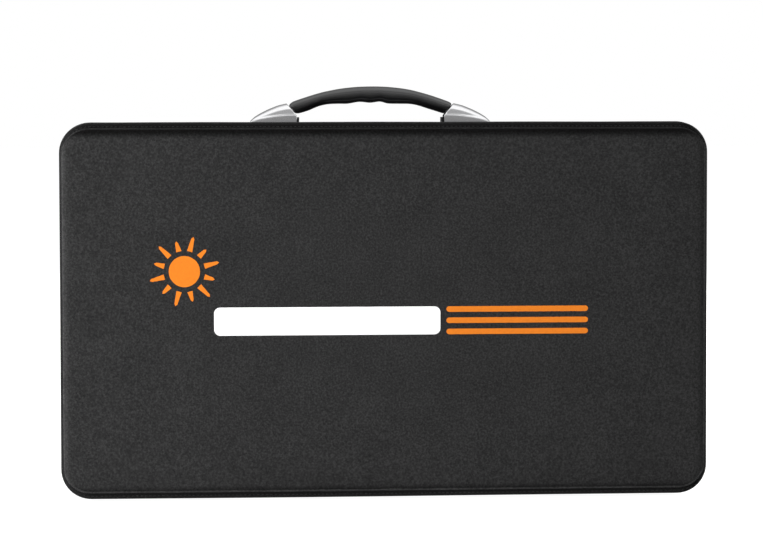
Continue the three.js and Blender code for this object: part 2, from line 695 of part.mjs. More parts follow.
// --------------------------------------------------------------- bail stand
const STAND_Z = 310;           // bail pivot height
const STAND_FOOT_Z = 60;
const STAND_X = 180;           // bail leg, from the middle
const STAND_SEAT = HALF_D + GAP;       // front of the parts on the back face
const ROD_R = 3.5;
const BAIL_END = STAND_X + 15;
const BAIL_BEND_R = 8;
const BARREL_X = [STAND_X + 9.2, STAND_X + 19];
const BORE_X = [BARREL_X[0] - 2, BARREL_X[1] - 2.6];
const BORE_R = ROD_R + 0.4;
const BRACKET_T = 2.4;
const BRACKET_HALF_H = 22;
const BRACKET_OUT = 6;         // mounting plate beyond the barrel
const SLEEVE_X = 118;
const SLEEVE_HALF_L = 20;
const SLEEVE_R = [ROD_R + 0.35, 5.8];  // inner and outer radius

function standBail() {
  const corners = [
    [-BAIL_END, STAND_Z], [-STAND_X, STAND_Z], [-STAND_X, STAND_FOOT_Z],
    [STAND_X, STAND_FOOT_Z], [STAND_X, STAND_Z], [BAIL_END, STAND_Z],
  ].map(([x, z]) => [x, STAND_Y, z]);
  return tube(bentPath(corners, BAIL_BEND_R, 4), ROD_R, 12);
}

function standBracket(side) {
  const [near, far] = BARREL_X.map((x) => side * x);
  const cylinder = (xRange, radius) => {
    const [start, end] = xRange.map((x) => [side * x, STAND_Y, STAND_Z]);
    return rod(start, end, radius, 24);
  };
  const plate = block([near, far + side * BRACKET_OUT], [STAND_SEAT, STAND_SEAT + BRACKET_T],
    around(STAND_Z, BRACKET_HALF_H));
  const cheek = block([near, far], [STAND_SEAT, STAND_Y], around(STAND_Z, BARREL_R));
  return shape(solid(plate).add(solid(cheek)).add(solid(cylinder(BARREL_X, BARREL_R)))
    .subtract(solid(cylinder(BORE_X, BORE_R))));
}

// Sleeve round the bail's cross bar.
function standFoot(side) {
  const [inner, outer] = SLEEVE_R;
  const geometry = revolve([
    [inner, -SLEEVE_HALF_L], [outer, -SLEEVE_HALF_L], [outer, SLEEVE_HALF_L],
    [inner, SLEEVE_HALF_L], [inner, -SLEEVE_HALF_L],
  ], 20);
  geometry.rotateZ(Math.PI / 2);
  geometry.translate(side * SLEEVE_X, STAND_Y, STAND_FOOT_Z);
  return outward(geometry);
}

const CLIP_HALF_L = 12;
const CLIP_HALF_H = 15;
const CLIP_T = 2;
const CLIP_R = ROD_R + 0.6;    // half the opening between the two arms
const CLIP_ARM_END = STAND_Y + 2.4;
const CLIP_NOSE = 1;           // point at the end of each arm

// Spring clip that holds the bail's cross bar flat against the back face.
function standClip() {
  const wall = STAND_SEAT + CLIP_T;
  // One half of the outline, [y, distance from the bar's centre height].
  const halfOutline = [
    [STAND_SEAT, CLIP_HALF_H], [wall, CLIP_HALF_H], [wall, CLIP_R + CLIP_T],
    [CLIP_ARM_END, CLIP_R + CLIP_T], [CLIP_ARM_END + CLIP_NOSE, CLIP_R + CLIP_T / 2],
    [CLIP_ARM_END, CLIP_R], [wall, CLIP_R],
  ];
  const lower = halfOutline.map(([y, away]) => [y, STAND_FOOT_Z - away]);
  const upper = halfOutline.map(([y, away]) => [y, STAND_FOOT_Z + away]).reverse();
  return plateYZ([...lower, ...upper], around(0, CLIP_HALF_L));
}

add('stand_bail', standBail(), FINISH.stand);
for (const [name, side] of SIDES) {
  add(`stand_bracket_${name}`, standBracket(side), FINISH.stand);
  add(`stand_foot_${name}`, standFoot(side), FINISH.standFoot);
}
add('stand_clip', standClip(), FINISH.stand);

// ----------------------------------------------------------- battery clamps
// Each clamp is built round its pivot, with the pin along Y.
const CLAMP_X = 255;
const CLAMP_Y = -19;
const CLAMP_HALF_W = 8;
// Upper arm, [x from the jaw tips (-) to the grips (+), z]; the lower mirrors it.
const CLAMP_ARM = [
  [-45, 0.4], [-41, 2.2], [-37, 0.4], [-33, 2.2], [-29, 0.4], [-10, 2.4], [-4, 2.6], [8, 3.2],
  [14, 4.2], [50, 13], [52, 16], [50, 19], [12, 12.5], [-8, 12.5], [-36, 9.5], [-45, 5],
];
const LUG = { radius: 6.4, halfWidth: 5.7 };
const LUG_ROOM = { radius: 7.4, halfWidth: 6 };        // in the lower arm
const SPRING_ROOM = { radius: 7.6, halfWidth: 3.4 };   // between the lugs
const PIN_HOLE = { radius: 2.7, halfWidth: 9 };
const EAR = { radius: 6.6, from: 6.3 };
const EAR_ROOM = { halfLength: 8.4, from: 6, to: 9, z: [-9, 8.2] };    // in the upper arm
const PIN = { radius: 2.3, halfWidth: 9 };
const SPRING = { radius: 4.7, wire: 0.7, halfWidth: 2.4, turns: 3, stepsPerTurn: 10 };

const clampArm = (sign) =>
  solid(plateXZ(CLAMP_ARM.map(([x, z]) => [x, sign * z]), around(0, CLAMP_HALF_W)));
const disc = ({ radius, halfWidth }, sides = 20) =>
  rod([0, -halfWidth, 0], [0, halfWidth, 0], radius, sides);

// Upper arm: its lugs fit inside the lower arm's ears.
function clampUpper() {
  const { halfLength, from, to, z } = EAR_ROOM;
  return shape(clampArm(1)
    .subtract(solid(block(around(0, halfLength), [from, to], z)))
    .subtract(solid(block(around(0, halfLength), [-to, -from], z)))
    .add(solid(disc(LUG)))
    .subtract(solid(disc(SPRING_ROOM)))
    .subtract(solid(disc(PIN_HOLE))));
}

// Lower arm: ears outside, room for the lugs and the spring between them.
function clampLower() {
  const ear = (y0, y1) => solid(rod([0, y0, 0], [0, y1, 0], EAR.radius, 20));
  return shape(clampArm(-1)
    .subtract(solid(disc(LUG_ROOM)))
    .add(ear(EAR.from, CLAMP_HALF_W))
    .add(ear(-CLAMP_HALF_W, -EAR.from))
    .subtract(solid(disc(PIN_HOLE))));
}

function clampSpring() {
  const { radius, wire, halfWidth, turns, stepsPerTurn } = SPRING;
  const steps = turns * stepsPerTurn;
  const helix = [];
  for (let i = 0; i <= steps; i++) {
    const angle = 2 * Math.PI * i / stepsPerTurn;
    const y = -halfWidth + 2 * halfWidth * i / steps;
    helix.push([radius * Math.cos(angle), y, radius * Math.sin(angle)]);
  }
  return tube(helix, wire, 6);
}

for (const [name, z] of [['red', 318], ['black', 255]]) {
  const clamp = new THREE.Group();
  clamp.position.set(CLAMP_X, CLAMP_Y, z);
  kit.add(clamp);
  add(`clamp_${name}_lower`, clampLower(), FINISH[name], clamp);
  add(`clamp_${name}_upper`, clampUpper(), FINISH[name], clamp);
  add(`clamp_${name}_pin`, disc(PIN, 16), FINISH.steel, clamp);
  add(`clamp_${name}_spring`, clampSpring(), FINISH.steel, clamp);
}

// ---------------------------------------------------- cable, plug and net
const COIL = { x: 258, z: 152, radius: 43, turns: 3, stepsPerTurn: 16, startY: -28, rise: 18 };
const CABLE_R = 2.8;
// Tail: from the top of the last turn, round inside the coil and down to the
// plug. [x from the coil centre, y, z from the coil centre]
const TAIL = [
  [14, -8.9, 36], [20, -9, 10], [8, -9.2, -22], [0, -9.6, -50], [0, -12, -66], [0, -12, -72],
];
const PLUG_TOP = COIL.z - 72.4;
const PLUG_Y = -13.5;
// [radius, height from the plug's top]
const PLUG_PROFILE = [
  [0, -46], [6.2, -46], [6.2, -20], [7.6, -18], [7.6, -6], [4.6, 0], [0, 0],
];

function chargeCable() {
  const { x, z, radius, turns, stepsPerTurn, startY, rise } = COIL;
  const steps = turns * stepsPerTurn;
  const path = [];
  for (let i = 0; i <= steps + stepsPerTurn / 4; i++) {
    const angle = Math.PI - 2 * Math.PI * i / stepsPerTurn;
    const y = startY + rise * i / steps;
    path.push([x + radius * Math.cos(angle), y, z + radius * Math.sin(angle)]);
  }
  const tail = new THREE.CatmullRomCurve3([
    new THREE.Vector3(...path[path.length - 1]),
    ...TAIL.map(([outX, y, outZ]) => new THREE.Vector3(x + outX, y, z + outZ)),
  ]).getPoints(16);
  path.push(...tail.slice(1).map((point) => point.toArray()));
  return tube(path, CABLE_R, 8);
}

const cablePlug = () =>
  revolveUpright(PLUG_PROFILE.map(([r, h]) => [r, PLUG_TOP + h]), 16, COIL.x, PLUG_Y);

// Net pocket stretched over the lid bay.
const netPocket = () => block([203, 313], [-5, -3.8], [20, 352]);

add('charge_cable', chargeCable(), FINISH.cable);
add('cable_plug', cablePlug(), FINISH.cable);
add('net_pocket', netPocket(), FINISH.net);

export default kit;
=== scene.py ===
import math
import random

import bpy
import bmesh
import numpy as np
from mathutils import Matrix, Vector


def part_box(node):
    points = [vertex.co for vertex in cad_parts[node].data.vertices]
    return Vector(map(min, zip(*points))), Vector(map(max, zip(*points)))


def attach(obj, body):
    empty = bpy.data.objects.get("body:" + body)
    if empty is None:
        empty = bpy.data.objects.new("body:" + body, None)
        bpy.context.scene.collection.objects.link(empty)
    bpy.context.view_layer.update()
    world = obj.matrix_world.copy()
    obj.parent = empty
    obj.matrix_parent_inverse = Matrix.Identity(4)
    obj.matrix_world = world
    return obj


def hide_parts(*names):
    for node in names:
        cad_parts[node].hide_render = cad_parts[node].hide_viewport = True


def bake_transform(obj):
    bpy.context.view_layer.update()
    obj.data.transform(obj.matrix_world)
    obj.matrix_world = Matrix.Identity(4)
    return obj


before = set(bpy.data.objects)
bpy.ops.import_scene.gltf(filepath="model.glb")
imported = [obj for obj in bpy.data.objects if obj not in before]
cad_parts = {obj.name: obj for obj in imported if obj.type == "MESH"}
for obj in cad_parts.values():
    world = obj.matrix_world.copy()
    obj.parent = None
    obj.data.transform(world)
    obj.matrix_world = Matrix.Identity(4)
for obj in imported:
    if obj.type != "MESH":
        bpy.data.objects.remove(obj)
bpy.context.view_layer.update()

random.seed(7)
MM = 0.001
YM = 0.5 * (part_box("lid_spine")[1].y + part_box("back_spine")[0].y)   # middle plane of the case, in metres
_lo, _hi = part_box("lid_shell")
CASE_W = (_hi.x - _lo.x) / MM
CASE_H = (_hi.z - _lo.z) / MM
HALF_D = (YM - _lo.y) / MM
R, EDGE = 30.0, 11.0
GROOVE_IN, GROOVE_W = 4.0, 5.0


# ----------------------------------------------------------------- materials
def set_ramp(ramp, stops):
    el = ramp.elements
    el[0].position, el[1].position = stops[0][0], stops[-1][0]
    for p, _ in stops[1:-1]:
        el.new(p)
    for e, (p, c) in zip(sorted(el, key=lambda q: q.position), stops):
        e.color = (c, c, c, 1) if isinstance(c, (int, float)) else (*c, 1)


class Mat:
    """Small wrapper that makes node trees readable."""

    def __init__(self, name):
        self.m = bpy.data.materials.new(name)
        self.m.use_nodes = True
        self.t = self.m.node_tree
        self.t.nodes.clear()
        self.out = self.n("ShaderNodeOutputMaterial")
        self.co = self.n("ShaderNodeTexCoord").outputs["Object"]

    def n(self, kind, **kw):
        node = self.t.nodes.new(kind)
        for k, v in kw.items():
            if k in node.inputs:
                node.inputs[k].default_value = v
            else:
                setattr(node, k, v)
        return node

    def link(self, a, b):
        self.t.links.new(a, b)

    def noise(self, scale, detail=2.0, rough=0.5, vec=None, dist=0.0):
        n = self.n("ShaderNodeTexNoise", Scale=scale, Detail=detail, Roughness=rough, Distortion=dist)
        self.link(vec or self.co, n.inputs["Vector"])
        return n.outputs["Fac"]

    def ramp(self, fac, stops):
        n = self.n("ShaderNodeValToRGB")
        set_ramp(n.color_ramp, stops)
        self.link(fac, n.inputs["Fac"])
        return n.outputs["Color"]

    def math(self, op, a, b=None, c=None):
        n = self.n("ShaderNodeMath", operation=op)
        for i, v in enumerate((a, b, c)):
            if v is None:
                continue
            if isinstance(v, (int, float)):
                n.inputs[i].default_value = v
            else:
                self.link(v, n.inputs[i])
        return n.outputs[0]

    def mix(self, fac, a, b):
        n = self.n("ShaderNodeMix", data_type="RGBA")
        for sock, v in ((n.inputs[0], fac), (n.inputs[6], a), (n.inputs[7], b)):
            if isinstance(v, (int, float)):
                sock.default_value = v
            elif isinstance(v, tuple):
                sock.default_value = (*v, 1)
            else:
                self.link(v, sock)
        return n.outputs[2]

    def scale(self, sx, sy, sz):
        n = self.n("ShaderNodeMapping")
        n.inputs["Scale"].default_value = (sx, sy, sz)
        self.link(self.co, n.inputs["Vector"])
        return n.outputs["Vector"]

    def bump(self, height, strength, distance, normal=None):
        n = self.n("ShaderNodeBump", Strength=strength, Distance=distance)
        self.link(height, n.inputs["Height"])
        if normal is not None:
            self.link(normal, n.inputs["Normal"])
        return n.outputs["Normal"]

    def principled(self, color, rough, metal=0.0, normal=None, **kw):
        p = self.n("ShaderNodeBsdfPrincipled")
        for key, v in (("Base Color", color), ("Roughness", rough), ("Metallic", metal)):
            if isinstance(v, (int, float)):
                p.inputs[key].default_value = v
            elif isinstance(v, tuple):
                p.inputs[key].default_value = (*v, 1)
            else:
                self.link(v, p.inputs[key])
        for k, v in kw.items():
            p.inputs[k].default_value = v
        if normal is not None:
            self.link(normal, p.inputs["Normal"])
        self.link(p.outputs[0], self.out.inputs[0])
        return p


def weave_height(M, pitch_mm):
    """Plain weave: over-and-under bumps on a square grid in the X-Z plane."""
    k = 2 * math.pi / (pitch_mm * MM)
    sep = M.n("ShaderNodeSeparateXYZ")
    M.link(M.co, sep.inputs[0])
    wob = M.math("MULTIPLY", M.math("SUBTRACT", M.noise(60, 2), 0.5), 2.0)
    x = M.math("ADD", M.math("MULTIPLY", M.math("ADD", sep.outputs[0], M.math("MULTIPLY", sep.outputs[1], 1.0)), k), wob)
    z = M.math("ADD", M.math("MULTIPLY", sep.outputs[2], k), wob)
    return M.math("MULTIPLY", M.math("SINE", x), M.math("SINE", z))


def mat_fabric(name="case_fabric", k=1.0, sheen=0.05, spec=0.12):
    M = Mat(name)
    # mottled grain of a coated weave, 2 to 3 mm, over a finer thread pattern
    blot = M.noise(500, 2.5, 0.66)
    broad = M.noise(22, 3.0, 0.55)
    fine = M.noise(1150, 2.0, 0.6)
    tone = M.math("ADD", M.math("MULTIPLY", blot, 0.62), M.math("ADD", M.math("MULTIPLY", broad, 0.11), M.math("MULTIPLY", fine, 0.27)))
    col = M.ramp(tone, [(0.36, (0.0125 * k, 0.0125 * k, 0.0126 * k)), (0.5, (0.0240 * k, 0.0240 * k, 0.0241 * k)), (0.64, (0.041 * k, 0.041 * k, 0.0411 * k))])
    # painted shade: the cloth's colour is darkened where it turns over the edge and on the side walls, by a per-point
    # attribute that is 0 on the face and 1 on the sides; below 0 it paints a highlight
    painted_light_and_tone_node = M.n("ShaderNodeAttribute", attribute_name="shade")
    dim = M.n("ShaderNodeVectorMath", operation="SCALE")
    M.link(col, dim.inputs[0])
    M.link(M.math("SUBTRACT", 1.0, M.math("MULTIPLY", painted_light_and_tone_node.outputs["Fac"], 0.64)), dim.inputs["Scale"])
    col = dim.outputs[0]
    rough = M.ramp(blot, [(0.3, 0.9), (0.7, 0.78)])
    n1 = M.bump(weave_height(M, 1.15), 0.32, 0.00022)
    n2 = M.bump(blot, 0.42, 0.0006, n1)
    n3 = M.bump(fine, 0.25, 0.0002, n2)
    p = M.principled(col, rough, 0.0, n3, **{"Specular IOR Level": spec, "Sheen Weight": sheen, "Sheen Roughness": 0.5})
    # the same painted shade also lowers the cloth's specular
    M.link(M.math("MULTIPLY", M.math("SUBTRACT", 1.0, M.math("MULTIPLY", painted_light_and_tone_node.outputs["Fac"], 0.7)), spec), p.inputs["Specular IOR Level"])
    return M.m


def mat_cloth(name, lo, hi, scale=700, weave=0.9, sheen=0.25, rough=0.9):
    M = Mat(name)
    a = M.noise(scale, 3.0, 0.6)
    b = M.noise(40, 2.0)
    col = M.ramp(M.math("ADD", M.math("MULTIPLY", a, 0.7), M.math("MULTIPLY", b, 0.3)), [(0.32, lo), (0.68, hi)])
    n1 = M.bump(weave_height(M, weave), 0.45, 0.0002)
    n2 = M.bump(a, 0.35, 0.0003, n1)
    M.principled(col, rough, 0.0, n2, **{"Specular IOR Level": 0.2, "Sheen Weight": sheen, "Sheen Roughness": 0.45})
    return M.m


def mat_tape(name="zip_tape"):
    # herringbone tape: slanted ribs, with thread noise
    M = Mat(name)
    vec = M.scale(1, 1, 1)
    w = M.n("ShaderNodeTexWave", wave_type="BANDS", bands_direction="DIAGONAL", Scale=420, Distortion=1.2, Detail=1.0)
    M.link(vec, w.inputs["Vector"])
    a = M.noise(900, 2.0)
    col = M.ramp(M.math("ADD", M.math("MULTIPLY", w.outputs["Fac"], 0.55), M.math("MULTIPLY", a, 0.45)), [(0.25, (0.008, 0.008, 0.009)), (0.75, (0.028, 0.028, 0.03))])
    M.principled(col, 0.82, 0.0, M.bump(w.outputs["Fac"], 0.5, 0.00025), **{"Specular IOR Level": 0.25, "Sheen Weight": 0.2})
    return M.m


def mat_plastic(name, lo, hi, rough=0.45, grain=1400, depth=0.00008, spec=0.4, coat=0.0):
    M = Mat(name)
    g = M.noise(grain, 2.0, 0.6)
    b = M.noise(35, 3.0)
    col = M.ramp(M.math("ADD", M.math("MULTIPLY", g, 0.4), M.math("MULTIPLY", b, 0.6)), [(0.3, lo), (0.7, hi)])
    r = M.ramp(b, [(0.3, max(rough - 0.06, 0.03)), (0.7, rough + 0.07)])
    kw = {"Specular IOR Level": spec}
    if coat:
        kw["Coat Weight"] = coat
        kw["Coat Roughness"] = 0.12
    M.principled(col, r, 0.0, M.bump(g, 0.5, depth), **kw)
    return M.m


def mat_metal(name, lo, hi, rough=0.3, axis=0, depth=0.00002, streak=1200, metal=1.0, smudge=0.08):
    """Brushed or satin metal, streaked along one axis."""
    M = Mat(name)
    s = [streak, streak, streak]
    s[axis] = streak * 0.02
    st = M.n("ShaderNodeTexNoise", Scale=1.0, Detail=2.0)
    M.link(M.scale(*s), st.inputs["Vector"])
    b = M.noise(45, 3.0)
    col = M.ramp(M.math("ADD", M.math("MULTIPLY", st.outputs["Fac"], 0.6), M.math("MULTIPLY", b, 0.4)), [(0.3, lo), (0.7, hi)])
    r = M.ramp(M.math("ADD", M.math("MULTIPLY", st.outputs["Fac"], 0.5), M.math("MULTIPLY", b, 0.5)), [(0.3, max(rough - smudge, 0.04)), (0.7, rough + smudge)])
    M.principled(col, r, metal, M.bump(st.outputs["Fac"], 0.3, depth))
    return M.m


def mat_glass():
    M = Mat("module_glass")
    lw = M.n("ShaderNodeLayerWeight", Blend=0.12)
    tr = M.n("ShaderNodeBsdfTransparent")
    tr.inputs["Color"].default_value = (0.93, 0.96, 0.96, 1)
    gl = M.n("ShaderNodeBsdfGlossy")
    gl.inputs["Color"].default_value = (0.9, 0.95, 0.97, 1)
    M.link(M.ramp(M.noise(900, 2.0), [(0.3, 0.05), (0.7, 0.12)]), gl.inputs["Roughness"])
    mix = M.n("ShaderNodeMixShader")
    M.link(M.math("MULTIPLY", lw.outputs["Fresnel"], 0.85), mix.inputs[0])
    M.link(tr.outputs[0], mix.inputs[1])
    M.link(gl.outputs[0], mix.inputs[2])
    M.link(mix.outputs[0], M.out.inputs[0])
    return M.m


def mat_cells():
    M = Mat("solar_cell")
    sep = M.n("ShaderNodeSeparateXYZ")
    M.link(M.co, sep.inputs[0])
    finger = M.math("SINE", M.math("MULTIPLY", sep.outputs[0], 2 * math.pi / 0.0021))
    line = M.ramp(finger, [(0.9, 0.0), (0.985, 1.0)])
    # angular crystals at two sizes, cut flat by the wafer
    crystal = M.n("ShaderNodeTexVoronoi", Scale=70.0, distance="MANHATTAN")
    M.link(M.co, crystal.inputs["Vector"])
    shard = M.n("ShaderNodeTexVoronoi", Scale=170.0, distance="CHEBYCHEV")
    M.link(M.co, shard.inputs["Vector"])
    both = M.math("ADD", M.math("MULTIPLY", crystal.outputs["Color"], 0.6), M.math("MULTIPLY", shard.outputs["Color"], 0.4))
    base = M.ramp(both, [(0.2, (0.007, 0.012, 0.048)), (0.5, (0.011, 0.019, 0.072)), (0.8, (0.018, 0.03, 0.105))])
    col = M.mix(M.math("MULTIPLY", line, 0.5), base, (0.3, 0.31, 0.33))
    M.principled(col, 0.28, 0.15, M.bump(M.noise(1300, 2), 0.1, 0.00005), **{"Specular IOR Level": 0.6})
    return M.m


def mat_print(name, rgb):
    # screen print: solid ink that picks up the grain of the cloth below
    M = Mat(name)
    blot = M.noise(330, 3.0, 0.62)
    fine = M.noise(1150, 2.0, 0.6)
    lo = tuple(c * 0.9 for c in rgb)
    col = M.ramp(M.math("ADD", M.math("MULTIPLY", blot, 0.6), M.math("MULTIPLY", fine, 0.4)), [(0.35, lo), (0.6, rgb)])
    n1 = M.bump(weave_height(M, 1.15), 0.15, 0.0001)
    p = M.principled(col, 0.6, 0.0, M.bump(blot, 0.15, 0.0003, n1), **{"Specular IOR Level": 0.25})
    # painted light: the ink glows faintly in its own colour
    e = col
    M.link(e, p.inputs["Emission Color"])
    p.inputs["Emission Strength"].default_value = 0.12
    return M.m


MATS = {
    "case_fabric": mat_fabric(),
    # a darker copy of the case fabric: painted shade
    "gusset_fabric": mat_fabric("gusset_fabric", 0.5, 0.02, 0.06),
    # a lighter copy of the case fabric: a painted highlight along the seam
    "piping": mat_fabric("piping", 1.3, 0.12, 0.2),
    "edge_thread": mat_cloth("edge_thread", (0.008, 0.008, 0.0085), (0.024, 0.024, 0.025), 1800, 0.5, 0.1, 0.75),
    "liner_fabric": mat_cloth("liner_fabric", (0.024, 0.026, 0.030), (0.058, 0.061, 0.069), 900, 1.4, 0.4),
    "zip_tape": mat_tape(),
    "thread": mat_cloth("thread", (0.02, 0.02, 0.021), (0.06, 0.06, 0.062), 1800, 0.5, 0.2, 0.7),
    "zip_coil": mat_plastic("zip_coil", (0.022, 0.022, 0.023), (0.045, 0.045, 0.047), 0.34, 2200, 0.00003, 0.6),
    "plate_steel": mat_metal("plate_steel", (0.16, 0.16, 0.165), (0.26, 0.26, 0.27), 0.5, 0),
    "zip_metal": mat_metal("zip_metal", (0.26, 0.26, 0.27), (0.42, 0.42, 0.43), 0.3, 0, 0.00001),
    "cap_metal": mat_metal("cap_metal", (0.68, 0.68, 0.69), (0.8, 0.8, 0.81), 0.13, 0, 0.000002, 2600, 1.0, 0.03),
    "grip_plastic": mat_plastic("grip_plastic", (0.002, 0.002, 0.0022), (0.0045, 0.0045, 0.0047), 0.38, 1900, 0.00006, 1.0, 0.3),
    "base_plastic": mat_plastic("base_plastic", (0.006, 0.006, 0.0065), (0.013, 0.013, 0.0135), 0.5),
    "steel": mat_metal("steel", (0.46, 0.46, 0.47), (0.64, 0.64, 0.65), 0.34, 0, 0.00001, 1200, 0.7),
    "frame_aluminium": mat_metal("frame_aluminium", (0.44, 0.45, 0.46), (0.58, 0.59, 0.60), 0.38, 0, 0.00002, 1500, 0.6),
    "frame_aluminium_up": mat_metal("frame_aluminium_up", (0.44, 0.45, 0.46), (0.58, 0.59, 0.60), 0.38, 2, 0.00002, 1500, 0.6),
    "module_glass": mat_glass(),
    "backsheet": mat_plastic("backsheet", (0.010, 0.011, 0.014), (0.018, 0.019, 0.024), 0.55, 700, 0.00003),
    "solar_cells": mat_cells(),
    "busbar": mat_metal("busbar", (0.52, 0.52, 0.54), (0.66, 0.66, 0.68), 0.36, 2, 0.00001, 1200, 0.5),
    "jbox_plastic": mat_plastic("jbox_plastic", (0.008, 0.008, 0.009), (0.017, 0.017, 0.018), 0.5),
    "controller_plastic": mat_plastic("controller_plastic", (0.05, 0.054, 0.062), (0.075, 0.08, 0.09), 0.48, 1600, 0.0001),
    "controller_dark": mat_plastic("controller_dark", (0.018, 0.019, 0.022), (0.03, 0.031, 0.035), 0.5, 1600, 0.0001),
    "display": mat_plastic("display", (0.24, 0.3, 0.22), (0.3, 0.36, 0.27), 0.18, 500, 0.00001, 0.6, 0.6),
    "lcd_ink": mat_plastic("lcd_ink", (0.02, 0.025, 0.02), (0.03, 0.035, 0.03), 0.3, 500, 0.00001),
    "button_rubber": mat_plastic("button_rubber", (0.7, 0.2, 0.015), (0.85, 0.28, 0.03), 0.6, 1800, 0.00006, 0.3),
    "terminal_plastic": mat_plastic("terminal_plastic", (0.02, 0.13, 0.055), (0.035, 0.19, 0.085), 0.45),
    "stand_steel": mat_plastic("stand_steel", (0.045, 0.046, 0.048), (0.075, 0.076, 0.08), 0.34, 1100, 0.0001, 0.7),
    "foot_rubber": mat_plastic("foot_rubber", (0.010, 0.010, 0.010), (0.02, 0.02, 0.02), 0.75, 900, 0.0001, 0.25),
    "net": mat_cloth("net", (0.010, 0.010, 0.011), (0.03, 0.03, 0.032), 1500, 0.6, 0.25),
    "clamp_red": mat_plastic("clamp_red", (0.42, 0.012, 0.01), (0.58, 0.025, 0.018), 0.3, 800, 0.00004, 0.5, 0.25),
    "clamp_black": mat_plastic("clamp_black", (0.010, 0.010, 0.011), (0.022, 0.022, 0.024), 0.3, 800, 0.00004, 0.5, 0.25),
    "copper": mat_metal("copper", (0.55, 0.24, 0.12), (0.75, 0.36, 0.2), 0.3, 0),
    "cable_rubber": mat_plastic("cable_rubber", (0.010, 0.010, 0.011), (0.02, 0.02, 0.022), 0.5, 1500, 0.00006, 0.4),
    "print_orange": mat_print("print_orange", (0.69, 0.19, 0.018)),
    "print_white": mat_print("print_white", (0.95, 0.95, 0.95)),
}


# ------------------------------------------------------------------- meshing
def obj_from(name, verts_mm, faces, mat, smooth=True, own_frame=True):
    """Mesh from millimetre coordinates, y measured from the middle plane of the case."""
    v = np.asarray(verts_mm, float) * MM
    if own_frame:
        v[:, 1] += YM
    me = bpy.data.meshes.new(name)
    me.from_pydata(v.tolist(), [], [tuple(int(i) for i in f) for f in faces])
    me.validate()
    bm = bmesh.new()
    bm.from_mesh(me)
    bmesh.ops.recalc_face_normals(bm, faces=bm.faces)
    bm.to_mesh(me)
    bm.free()
    me.polygons.foreach_set("use_smooth", [smooth] * len(me.polygons))
    o = bpy.data.objects.new(name, me)
    bpy.context.scene.collection.objects.link(o)
    me.materials.append(MATS[mat] if isinstance(mat, str) else mat)
    return o


def sharp(o, deg=35):
    """Keeps edges above an angle crisp on a smooth-shaded mesh."""
    me = o.data
    bm = bmesh.new()
    bm.from_mesh(me)
    lim = math.radians(deg)
    for e in bm.edges:
        e.smooth = not (len(e.link_faces) == 2 and e.calc_face_angle(0) > lim)
    bm.to_mesh(me)
    bm.free()
    return o


def loft(name, loops, mat, close_ends=True, ring=False, smooth=True):
    """Skin over loops of equal length. ring=True joins the last loop back to the first."""
    n = len(loops[0])
    verts = np.concatenate([np.asarray(l, float) for l in loops])
    faces = []
    K = len(loops)
    for k in range(K if ring else K - 1):
        a0, b0 = k * n, ((k + 1) % K) * n
        for i in range(n):
            j = (i + 1) % n
            faces.append((a0 + i, a0 + j, b0 + j, b0 + i))
    if close_ends and not ring:
        faces.append(tuple(range(n))[::-1])
        faces.append(tuple(range((K - 1) * n, K * n)))
    return obj_from(name, verts, faces, mat, smooth)


def merge(name, parts, mat, smooth=True):
    """One mesh from [(verts, faces), ...]."""
    V, F, base = [], [], 0
    for v, f in parts:
        V.append(np.asarray(v, float))
        F += [tuple(i + base for i in q) for q in f]
        base += len(v)
    return obj_from(name, np.concatenate(V), F, mat, smooth)


def box_part(x0, x1, y0, y1, z0, z1):
    v = [(x, y, z) for x in (x0, x1) for y in (y0, y1) for z in (z0, z1)]
    f = [(0, 1, 3, 2), (4, 6, 7, 5), (0, 4, 5, 1), (2, 3, 7, 6), (0, 2, 6, 4), (1, 5, 7, 3)]
    return np.array(v, float), f


def tube_part(points, r, sides=8, closed=False, squash=1.0):
    """Round bar along a polyline, as verts and faces; r may be a list."""
    P = np.asarray(points, float)
    n = len(P)
    rs = np.broadcast_to(np.asarray(r, float), (n,))
    T = np.gradient(P, axis=0)
    if closed:
        T = np.roll(P, -1, 0) - np.roll(P, 1, 0)
    T /= np.linalg.norm(T, axis=1)[:, None] + 1e-12
    ref = np.array([0.0, 1.0, 0.0])
    if abs(T[0] @ ref) > 0.9:
        ref = np.array([1.0, 0.0, 0.0])
    N = np.zeros_like(P)
    v = ref - T[0] * (ref @ T[0])
    N[0] = v / np.linalg.norm(v)
    for i in range(1, n):
        v = N[i - 1] - T[i] * (N[i - 1] @ T[i])
        N[i] = v / (np.linalg.norm(v) + 1e-12)
    B = np.cross(T, N)
    a = np.linspace(0, 2 * np.pi, sides, endpoint=False)
    V = (P[:, None] + rs[:, None, None] * (np.cos(a)[None, :, None] * N[:, None] + squash * np.sin(a)[None, :, None] * B[:, None])).reshape(-1, 3)
    F = []
    for k in range(n if closed else n - 1):
        for i in range(sides):
            j = (i + 1) % sides
            m = (k + 1) % n
            F.append((k * sides + i, k * sides + j, m * sides + j, m * sides + i))
    if not closed:
        F.append(tuple(range(sides))[::-1])
        F.append(tuple(range((n - 1) * sides, n * sides)))
    return V, F


def spline(points, per=8):
    """Catmull-Rom through the points."""
    P = np.asarray(points, float)
    P = np.vstack([2 * P[0] - P[1], P, 2 * P[-1] - P[-2]])
    out = []
    for i in range(1, len(P) - 2):
        p0, p1, p2, p3 = P[i - 1], P[i], P[i + 1], P[i + 2]
        for t in np.linspace(0, 1, per, endpoint=False):
            out.append(0.5 * ((2 * p1) + (-p0 + p2) * t + (2 * p0 - 5 * p1 + 4 * p2 - p3) * t ** 2 + (-p0 + 3 * p1 - 3 * p2 + p3) * t ** 3))
    out.append(P[-2])
    return np.array(out)


def add_bevel(o, width_mm, seg=3, angle=35):
    b = o.modifiers.new("edges", "BEVEL")
    b.width = width_mm * MM
    b.segments = seg
    b.limit_method = "ANGLE"
    b.angle_limit = math.radians(angle)
    b.harden_normals = False
    o.data.polygons.foreach_set("use_smooth", [True] * len(o.data.polygons))
    return o


